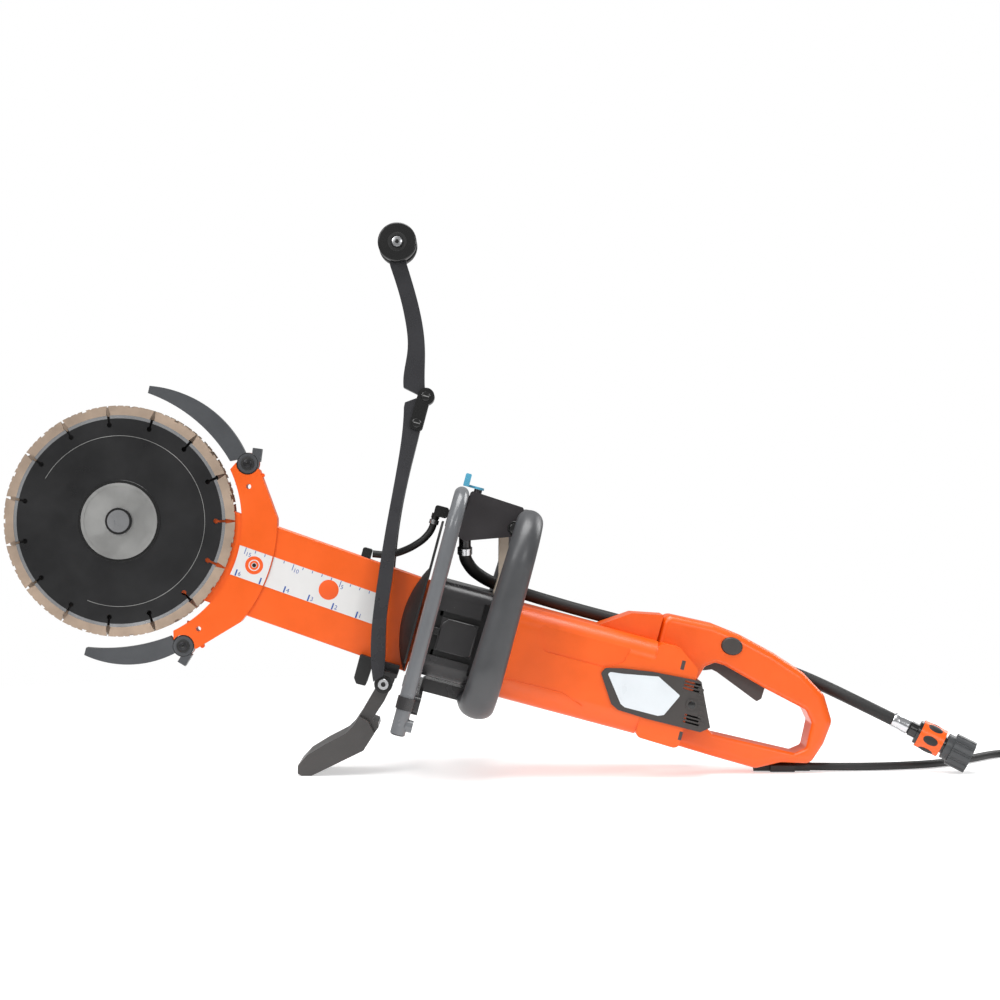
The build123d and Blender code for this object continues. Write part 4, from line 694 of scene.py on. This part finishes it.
@dataclass
class ArmScale:
    """The depth scale printed on the arm's label."""

    bench: Bench
    front: float = 126.0
    rear: float = 262.0
    top: float = 17.0
    bottom: float = -13.0
    tick: float = 0.75

    def build(self) -> None:
        """Builds the ticks, the figures, the target and the dot."""
        plate = half_width("scale_label")
        thin = 0.1
        strips = ((plate, self.front, 156.0, "front"), (LABEL_FACE, 159.5, self.rear, "rear"))
        for face, x0, x1, label in strips:
            metric, inch = [], []
            for n in range(int((self.rear - self.front) / 10) + 1):
                x = self.front + 2.0 + 10 * n
                if x0 <= x <= x1:
                    length = 6.4 if n % 5 == 0 else 2.6
                    metric.append((x - self.tick / 2, x + self.tick / 2, self.top - length, self.top))
            for n in range(int((self.rear - self.front) / INCH) + 1):
                x = self.front + 0.5 + INCH * n
                if x0 <= x <= x1:
                    inch.append((x - self.tick, x + self.tick, self.bottom, self.bottom + 6.6))
            ticks = self.bench.boxes(f"centimetre_ticks_{label}", ARM, metric, face - thin, face + thin / 2)
            self.bench.keep(ticks, BLUE_INK, ROOT, "label_film")
            inches = self.bench.boxes(f"inch_ticks_{label}", ARM, inch, face - thin, face + thin / 2)
            self.bench.keep(inches, BLUE_INK, ROOT, "label_film")
        for n in range(3):
            self.figure(f"figure_cm_{n}", str(15 - 5 * n), self.front + 3.2 + 50 * n, self.top - 7.6, 5.8)
        for n in range(6):
            self.figure(f"figure_inch_{n}", str(6 - n), self.front + 2.4 + INCH * n, self.bottom + 1.2, 6.2)
        target = (141.0, 3.0)
        for outer, inner, label in ((9.0, 5.6, "outer"), (4.6, 2.6, "inner")):
            mark = self.bench.ring(f"target_ring_{label}", ARM, target, outer, inner, plate - thin,
                                   plate + thin / 2)
            self.bench.keep(mark, ORANGE_INK, ROOT, "label_film")
        screw = self.bench.disc("target_screw", ARM, target, 2.0, plate - thin, plate + 0.6)
        self.bench.keep(screw, BLACK_SCREW, ROOT, "black_plastic")
        dot = self.bench.disc("depth_dot", ARM, (219.0, 4.5), 10.0, LABEL_FACE - thin, LABEL_FACE + thin / 2,
                               soft=0.02)
        self.bench.keep(dot, ORANGE_INK, ROOT, "label_film")

    def figure(self, name: str, text: str, x: float, z: float, size: float) -> None:
        """Adds one small figure to the scale.

        Args:
            name: the piece's name.
            text: the figure.
            x: its left edge.
            z: its base line.
            size: its height.
        """
        if 152.0 < x < 161.0:
            return
        face = half_width("scale_label") if x < 155 else LABEL_FACE
        curve = bpy.data.curves.new(name, "FONT")
        curve.body = text
        curve.size = size * MM
        curve.extrude = 0.05 * MM
        flat = bpy.data.objects.new(name + "_line", curve)
        bpy.context.scene.collection.objects.link(flat)
        bpy.context.view_layer.update()
        mesh = bpy.data.meshes.new_from_object(flat)
        bpy.data.objects.remove(flat)
        turn = Matrix((ARM.along, ARM.up, ARM.along.cross(ARM.up))).transposed().to_4x4()
        mesh.transform(Matrix.Translation(ARM.at(x, z, face)) @ turn)
        piece = bpy.data.objects.new(name, mesh)
        bpy.context.scene.collection.objects.link(piece)
        self.bench.keep(piece, BLUE_INK, ROOT, "label_film")


@dataclass
class GuardTrim:
    """The swinging guards' pivot bolts, pins and seams."""

    bench: Bench
    pivot_radius: float = 139.7
    pivot_angle: float = 43.7

    def build(self) -> None:
        """Builds a black washer, a bolt and a seam ring at each pivot."""
        face = half_width("guard_plate")
        for side, body in ((1, "guard_upper"), (-1, "guard_lower")):
            angle = math.radians(side * self.pivot_angle)
            centre = (self.pivot_radius * math.cos(angle), self.pivot_radius * math.sin(angle))
            label = "upper" if side > 0 else "lower"
            seam = self.bench.ring(f"guard_seam_{label}", ARM, centre, 10.6, 9.9, face - 1.4, face - 0.9)
            self.bench.keep(seam, BLACK_ACETAL, body, "grey_plastic")
            washer = self.bench.disc(f"guard_washer_{label}", ARM, centre, 6.6, face - 1.2, face + 0.2)
            self.bench.keep(washer, BLACK_RUBBER, ROOT, "black_rubber")
            bolt = self.bench.disc(f"guard_bolt_{label}", ARM, centre, 4.4, face - 1.0, face + 1.2, soft=1.0)
            self.bench.keep(bolt, BLACK_SCREW, ROOT, "bright_steel")
            # Painted shade: a black hexagon proud of the bolt head stands in for the shade inside the bolt's
            # socket recess.
            socket_shade = self.bench.disc(f"guard_socket_shade_{label}", ARM, centre, 2.0, face, face + 1.25, soft=0.05,
                                     steps=6)
            self.bench.keep(socket_shade, BLACK_ACETAL, ROOT, "black_plastic")


@dataclass
class GuideTrim:
    """The wall guide's wheel bolts and strap knobs."""

    bench: Bench
    wheel: tuple[float, float] = (-131.4, 364.0)
    knobs: tuple[tuple[float, float], ...] = ((-64.5, 224.0), (-66.5, 196.0))

    def build(self) -> None:
        """Builds the wheel bolts and hub rings, then the knobs."""
        outer = half_width("guide_wheels")
        for side, label in ((1, "near"), (-1, "far")):
            hub = self.bench.ring(f"wheel_hub_{label}", BODY, self.wheel, 9.5, 6.2, side * (outer - 1.0),
                                  side * (outer + 0.2))
            self.bench.keep(hub, BLACK_RUBBER, "wheels", "black_plastic")
            head = self.bench.disc(f"wheel_bolt_{label}", BODY, self.wheel, 5.2, side * (outer + 1.0),
                                   side * (outer + 3.4), soft=0.8)
            self.bench.keep(head, ZINC_STEEL, "guide_arm", "bright_steel")
            # Painted shade: a black hexagon proud of the zinc bolt head stands in for the shade inside the
            # bolt's socket recess.
            socket_shade = self.bench.disc(f"wheel_socket_shade_{label}", BODY, self.wheel, 2.3, side * (outer + 3.0),
                                     side * (outer + 3.45), soft=0.05, steps=6)
            self.bench.keep(socket_shade, BLACK_ACETAL, "guide_arm", "black_plastic")
        strap = half_width("guide_hinge")
        for index, centre in enumerate(self.knobs):
            for side, label in ((1, "near"), (-1, "far")):
                knob = self.bench.disc(f"strap_knob_{index}_{label}", BODY, centre, 4.8, side * (strap - 1.8),
                                       side * (strap + 0.6), soft=0.8, steps=24)
                self.bench.keep(knob, BLACK_ACETAL, ROOT, "black_plastic")
                slot = self.bench.boxes(f"strap_slot_{index}_{label}", BODY,
                                        [(centre[0] - 3.2, centre[0] + 3.2,
                                          centre[1] - 0.5, centre[1] + 0.5)],
                                        side * strap, side * (strap + 0.65))
                self.bench.keep(slot, TURNED_STEEL, ROOT, "plain_steel")


@dataclass
class FootTrim:
    """The foot's pivot screws."""

    bench: Bench
    pivot: tuple[float, float] = (-31.0, -61.2)

    def build(self) -> None:
        """Builds a black ring and a socket screw on each side of the foot's pivot."""
        face = half_width("guide_bracket")
        for side, label in ((1, "near"), (-1, "far")):
            ring = self.bench.ring(f"foot_ring_{label}", BODY, self.pivot, 8.2, 5.4, side * (face - 2.2),
                                   side * (face - 1.0))
            self.bench.keep(ring, BLACK_RUBBER, ROOT, "black_rubber")
            screw = self.bench.ring(f"foot_screw_{label}", BODY, self.pivot, 5.3, 2.4, side * (face - 2.0),
                                    side * (face + 0.3), steps=36)
            self.bench.keep(screw, ZINC_STEEL, ROOT, "bright_steel")


@dataclass
class HoopTrim:
    """The caps and rings on the hand-guard hoop."""

    bench: Bench
    hoop_x: float = -5.0
    hoop_half: float = 108.0
    foot_z: float = -96.0
    tube: float = 14.5

    def build(self) -> None:
        """Builds an end plug and a strap at each foot of the hand-guard hoop."""
        for side, label in ((1, "left"), (-1, "right")):
            end = BODY.at(self.hoop_x, self.foot_z, side * self.hoop_half)
            plug = self.bench.turned(f"hoop_plug_{label}", end, BODY.up,
                                     [(-1.2, 0), (-1.2, 5.6), (-0.6, 6.6), (2.0, 6.9), (2.0, 0)])
            self.bench.keep(plug, BLACK_RUBBER, ROOT, "black_rubber")
            strap = self.bench.turned(f"hoop_strap_{label}", end + BODY.up * 24 * MM, BODY.up,
                                      [(0, self.tube / 2 - 0.4), (0, self.tube / 2 + 1.4),
                                       (12, self.tube / 2 + 1.4), (12, self.tube / 2 - 0.4),
                                       (0, self.tube / 2 - 0.4)])
            self.bench.keep(strap, GREY_CASTING, ROOT, "dark_casting")


@dataclass
class ValveTrim:
    """The valve block's knob and its ring."""

    bench: Bench

    def build(self) -> None:
        """Builds the knob and its ring on the left end."""
        face = half_width("valve_block")
        ring = self.bench.ring("valve_ring", BODY, (54, 120), 7.0, 5.6, face - 5.2, face - 3.4)
        self.bench.keep(ring, BLACK_ACETAL, ROOT, "black_plastic")
        knob = self.bench.disc("valve_knob", BODY, (54, 120), 5.4, face - 3.0, face + 1.2, soft=1.0, steps=18)
        self.bench.keep(knob, BLACK_ACETAL, ROOT, "black_plastic")


@dataclass
class MotorTrim:
    """Seams, clips and screw sockets on the motor and gear housings."""

    bench: Bench
    motor_half: float = 52.0
    gear_half: float = 50.0

    def build(self) -> None:
        """Builds the black strips of painted shade in the gear grooves, the seam lines, the clips and the
        painted shade in the screw sockets.
        """
        for side, label in ((1, "left"), (-1, "right")):
            # Black strips at the bottom of the gear grooves: painted shade, standing in for the shade that
            # falls in the grooves.
            groove_shade = self.bench.boxes(f"gear_groove_painted_shade_{label}", BODY,
                                      [(5.2, 45.2, -19.8, -14.7), (5.2, 45.2, 19.2, 24.3),
                                       (3.2, 7.8, -19.8, 24.3), (45.2, 50.8, -30.8, 40.8)],
                                      side * (self.gear_half - 5.2), side * (self.gear_half - 4.6))
            self.bench.keep(groove_shade, BLACK_RUBBER, ROOT, "black_rubber")
            pillow = self.bench.prism(f"gear_pillow_{label}", BODY,
                                      [(9, -13.4), (12, -14.2), (40, -14.2), (44, -12), (44, 16), (40, 18.6),
                                       (14, 18.6), (9, 13)],
                                      side * (self.gear_half - 0.6), side * (self.gear_half + 1.5), bevel=1.6)
            self.bench.keep(pillow, GREY_CASTING, ROOT, "dark_casting")
            clip = self.bench.boxes(f"gear_clip_{label}", BODY, [(-1, 9, 0, 7.5)],
                                    side * (self.gear_half - 5.0), side * (self.gear_half + 0.8), bevel=0.6)
            self.bench.keep(clip, BLACK_ACETAL, ROOT, "black_plastic")
            ledge = self.bench.prism(f"motor_ledge_{label}", BODY,
                                     [(60, -23.4), (140, -22.2), (162, -30), (162, -31), (139.6, -23.2),
                                      (60, -24.4)],
                                     side * (self.motor_half - 0.6), side * (self.motor_half + 0.9),
                                     bevel=0.3)
            self.bench.keep(ledge, ORANGE_NYLON, ROOT, "orange_plastic")
            slots = self.bench.boxes(f"clip_slots_{label}", BODY,
                                     [(244.6, 248.2, 29.5, 38.5), (260.0, 263.4, -37.5, -29)],
                                     side * (self.motor_half - 1.0), side * (self.motor_half + 0.15),
                                     bevel=0.1)
            self.bench.keep(slots, TRIGGER_NYLON, ROOT, "grey_plastic")
        screws = ((84, 25, 53.4), (84, -22, 53.4), (318, -37, 22.2), (235, 36, 53.2))
        for index, (x, z, at) in enumerate(screws):
            self.socket_shade(f"screw_socket_shade_{index}", (x, z), -at)

    def socket_shade(self, name: str, centre: tuple[float, float], face: float) -> None:
        """Adds the painted shade of one screw's six-sided recess: a flat dark hexagon on the head's face.

        Args:
            name: the piece's name.
            centre: the screw's centre.
            face: the distance of its head's face to the left.
        """
        out = math.copysign(0.1, face)
        # Painted shade: a black hexagon on the screw head stands in for the shade inside its socket recess.
        recess_shade = self.bench.disc(name, BODY, centre, 1.7, face - out, face + out * 1.5, soft=0.02, steps=6)
        self.bench.keep(recess_shade, BLACK_RUBBER, ROOT, "black_plastic")


@dataclass
class HandleTrim:
    """Ribs and plugs of the vent panels."""

    bench: Bench
    plate_face: float = 54.5

    def build(self) -> None:
        """Builds the ribs and the plug on each side."""
        for side, label in ((1, "left"), (-1, "right")):
            ribs = []
            for row in range(7):
                z = -17 + row * 5.2
                ribs.append((274.5 - row * 1.4, 280.5 - row * 1.4, z, z + 2.4))
            strip = self.bench.boxes(f"panel_ribs_{label}", BODY, ribs, side * (self.plate_face - 0.6),
                                     side * (self.plate_face + 0.7), bevel=0.3)
            self.bench.keep(strip, GREY_NYLON, ROOT, "grey_plastic")
            plug = self.bench.disc(f"panel_plug_{label}", BODY, (264, -1), 3.6,
                                   side * (self.plate_face + 0.8), side * (self.plate_face + 1.5), soft=0.3)
            self.bench.keep(plug, BLACK_ACETAL, ROOT, "black_plastic")


@dataclass
class WaterLine:
    """The free inlet hose with its crimp and the connector's grips."""

    bench: Bench
    diameter: float = 12.5
    length: float = 0.1846
    tilt: float = 26.0
    swing: float = 12.0
    connector_length: float = 71.0
    tip: tuple[float, float, float] = (549.0, -13.0, 14.88)

    def build(self) -> None:
        """Builds the hose, the crimp and six grips round the connector."""
        tilt, swing = math.radians(self.tilt), math.radians(self.swing)
        run = Vector((math.cos(tilt) * math.cos(swing), -math.cos(tilt) * math.sin(swing), -math.sin(tilt)))
        start = Vector(self.tip) - run * self.connector_length
        leave = BODY.at(304, 54.6, -28.6) / MM
        before = BODY.at(272, 55.8, -29.2) / MM
        lead = (leave - before).normalized()
        route = [tuple(leave), tuple(leave + lead * 38), (394.0, 28.5, 91.0), tuple(start - run * 40),
                 tuple(start + run * 6)]
        hose = self.bench.cord("free_inlet_hose", route, self.diameter)
        self.bench.keep(hose, BLACK_RUBBER, ROOT, "black_rubber")
        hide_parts("inlet_hose")
        crimp = self.bench.turned("hose_crimp", (start - run * 12) * MM, run,
                                  [(0, 6.3), (0, 7.2), (1, 7.7), (6, 7.3), (7, 7.3), (12, 7.8), (16.5, 7.8),
                                   (17.2, 7.2), (17.2, 6.3), (0, 6.3)])
        self.bench.keep(crimp, ZINC_STEEL, ROOT, "bright_steel")
        across = run.orthogonal().normalized()
        for index in range(6):
            out = Matrix.Rotation(math.radians(60 * index + 20), 3, run) @ across
            self.grip(f"connector_grip_{index}", start + run * 29, run, out)

    def grip(self, name: str, centre: Vector, run: Vector, out: Vector) -> bpy.types.Object:
        """Makes one oval grip pad on the connector.

        Args:
            name: the piece's name.
            centre: the point on the connector's axis, in millimetres.
            run: the connector's direction.
            out: the direction from the axis to the pad.

        Returns:
            The pad.
        """
        build = bmesh.new()
        bmesh.ops.create_uvsphere(build, u_segments=20, v_segments=12, radius=1.0)
        size = Matrix.Diagonal((8.5, 4.4, 1.5, 1.0))
        turn = Matrix((run, out.cross(run), out)).transposed().to_4x4()
        for vertex in build.verts:
            local = size @ vertex.co
            vertex.co = Matrix.Translation((centre + out * 13.3) * MM) @ (turn @ (local * MM))
        piece = self.bench.solid(name, build, smooth=80)
        return self.bench.keep(piece, BLACK_RUBBER, ROOT, "black_rubber")


@dataclass
class MainsLead:
    """The free mains lead with its strain relief ribs and the plug's pins."""

    bench: Bench
    diameter: float = 8.0
    length: float = 0.415
    route: tuple[tuple[float, float, float], ...] = (
        (392.1, 0.5, 4.6), (428, 0.5, 4.15), (476, 7, 4.05), (524, 25, 4.05), (566, 60, 4.05),
        (606, 107, 4.05), (650, 122, 4.05), (686, 98, 4.05), (700, 62, 8.2), (699, 34, 15.2), (697.5, 12, 18.6))

    def build(self) -> None:
        """Builds the lead, the ribs on its gland and the sleeves of the plug's pins."""
        lead = self.bench.cord("free_mains_lead", list(self.route), self.diameter)
        self.bench.keep(lead, BLACK_RUBBER, ROOT, "black_rubber")
        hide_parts("power_cable")
        end, before = Vector(self.route[-1]), Vector(self.route[-2])
        run = (end - before).normalized()
        for side in (1, -1):
            axis = end + run * 44
            pin = self.bench.turned(f"plug_pin_{'a' if side > 0 else 'b'}", self.pin_place(axis, run, side),
                                    run, [(-0.5, 2.42), (18.6, 2.42), (19.1, 2.0), (19.1, 0)], steps=24)
            self.bench.keep(pin, ZINC_STEEL, ROOT, "bright_steel")
        for index in range(4):
            rib = self.bench.turned(f"plug_rib_{index}", (end + run * (3 + 5 * index)) * MM, run,
                                    [(0, 5.5 + 2 * index), (0, 8.4 + 2.3 * index), (2, 8.9 + 2.3 * index),
                                     (2, 5.5 + 2 * index), (0, 5.5 + 2 * index)], steps=36)
            self.bench.keep(rib, BLACK_RUBBER, ROOT, "black_rubber")

    def pin_place(self, axis: Vector, run: Vector, side: int) -> Vector:
        """Finds the root of one pin of the plug.

        Args:
            axis: the centre of the plug's face, in millimetres.
            run: the plug's direction.
            side: 1 or -1.

        Returns:
            The pin's root, in metres.
        """
        level = Vector((run.y, -run.x, 0)).normalized()
        return (axis + level * side * 9.5) * MM


# ---------------------------------------------------------------- studio
@dataclass
class Studio:
    """The floor, the lights and the camera."""

    lens: float = 72.0
    place: tuple[float, float, float] = (0.0426, -2.0, 0.271)
    shift: float = 0.04
    air_glow: float = 0.36
    backdrop_glow: float = 1.0
    paper_glow: float = 0.5
    fade_start: float = 0.55
    fade_end: float = 1.1

    def build(self) -> None:
        """Builds the whole studio."""
        self.floor()
        self.lamp("key", (-1.1, -1.5, 1.3), (0.0, 0.0, 0.2), 0.8, 13)
        self.lamp("strip", (0.9, -1.6, 0.75), (0.1, 0.0, 0.2), 0.4, 5)
        self.lamp("top", (0.2, -0.1, 2.0), (0.0, 0.0, 0.2), 1.2, 32)
        self.lamp("rim", (1.7, 1.2, 1.2), (0.1, 0.0, 0.2), 1.0, 14)
        sky = bpy.data.lights.new("sky", "SUN")
        sky.energy = 0.85
        sky.angle = math.radians(30)
        sun = bpy.data.objects.new("sky", sky)
        sun.rotation_euler = (math.radians(28), math.radians(-14), 0.0)
        bpy.context.scene.collection.objects.link(sun)
        world = bpy.data.worlds.new("studio_air")
        world.use_nodes = True
        tree = world.node_tree
        tree.nodes["Background"].inputs["Color"].default_value = (1.0, 1.0, 1.0, 1.0)
        ray = FinishShop.add(tree, "ShaderNodeLightPath")
        glow = FinishShop.add(tree, "ShaderNodeMapRange",
                              {"To Min": self.air_glow, "To Max": self.backdrop_glow},
                              {"Value": ray.outputs["Is Camera Ray"]})
        tree.links.new(glow.outputs["Result"], tree.nodes["Background"].inputs["Strength"])
        bpy.context.scene.world = world
        camera = bpy.data.cameras.new("camera")
        camera.lens = self.lens
        camera.sensor_width = 36.0
        camera.shift_x = self.shift
        camera.clip_end = 50.0
        eye = bpy.data.objects.new("camera", camera)
        eye.location = self.place
        eye.rotation_euler = (math.radians(90), 0.0, 0.0)
        bpy.context.scene.collection.objects.link(eye)
        bpy.context.scene.camera = eye
        bpy.context.scene.view_settings.view_transform = "Standard"

    def floor(self) -> None:
        """Lays a pale floor at the object's lowest point, which fades out round its edge."""
        build = bmesh.new()
        bmesh.ops.create_grid(build, x_segments=1, y_segments=1, size=12.0)
        mesh = bpy.data.meshes.new("floor")
        build.to_mesh(mesh)
        build.free()
        sheet = bpy.data.objects.new("floor", mesh)
        sheet.location = (0.0, 0.0, -0.0005)
        bpy.context.scene.collection.objects.link(sheet)
        paper = bpy.data.materials.new("studio_paper")
        paper.use_nodes = True
        shader = paper.node_tree.nodes["Principled BSDF"]
        shader.inputs["Base Color"].default_value = (0.70, 0.70, 0.70, 1.0)
        shader.inputs["Roughness"].default_value = 0.8
        shader.inputs["Emission Color"].default_value = (1.0, 1.0, 1.0, 1.0)
        shader.inputs["Emission Strength"].default_value = self.paper_glow
        tree = paper.node_tree
        spot = FinishShop.add(tree, "ShaderNodeTexCoord")
        far = FinishShop.add(tree, "ShaderNodeVectorMath", links={"Vector": spot.outputs["Object"]})
        far.operation = "LENGTH"
        fade = FinishShop.add(tree, "ShaderNodeMapRange",
                              {"From Min": self.fade_start, "From Max": self.fade_end},
                              {"Value": far.outputs["Value"]})
        clear = FinishShop.add(tree, "ShaderNodeBsdfTransparent")
        mix = FinishShop.add(tree, "ShaderNodeMixShader", links={"Fac": fade.outputs["Result"]})
        tree.links.new(shader.outputs["BSDF"], mix.inputs[1])
        tree.links.new(clear.outputs["BSDF"], mix.inputs[2])
        tree.links.new(mix.outputs["Shader"], tree.nodes["Material Output"].inputs["Surface"])
        mesh.materials.append(paper)

    def lamp(self, name: str, place: tuple[float, float, float], target: tuple[float, float, float],
             size: float, power: float) -> None:
        """Adds a soft square light.

        Args:
            name: the light's name.
            place: where it stands.
            target: what it points at.
            size: the length of its sides.
            power: its power in watts.
        """
        data = bpy.data.lights.new(name, "AREA")
        data.size = size
        data.energy = power
        lamp = bpy.data.objects.new(name, data)
        lamp.location = place
        aim = Vector(target) - Vector(place)
        lamp.rotation_euler = aim.to_track_quat("-Z", "Y").to_euler()
        bpy.context.scene.collection.objects.link(lamp)


def dress_nodes(bench: Bench) -> None:
    """Gives every CAD node its finish.

    Args:
        bench: the bench with the finish shop.
    """
    for name, finish in NODE_FINISH.items():
        node = frame["nodes"][name]
        made = bench.shop.material(finish)
        for place in node.material_slots:
            place.material = made


def main() -> None:
    """Builds every sub-assembly in order."""
    logging.basicConfig(level=logging.INFO, format="%(name)s: %(message)s")
    bench = Bench()
    Studio().build()
    dress_nodes(bench)
    for part in (WaterLine, MainsLead, BladeSet, ArmScale, GuardTrim, GuideTrim, FootTrim, HoopTrim,
                 ValveTrim, MotorTrim, HandleTrim):
        part(bench).build()
        LOG.info("%s built, %d pieces so far", part.__name__, bench.count)


if __name__ == "__main__":
    main()
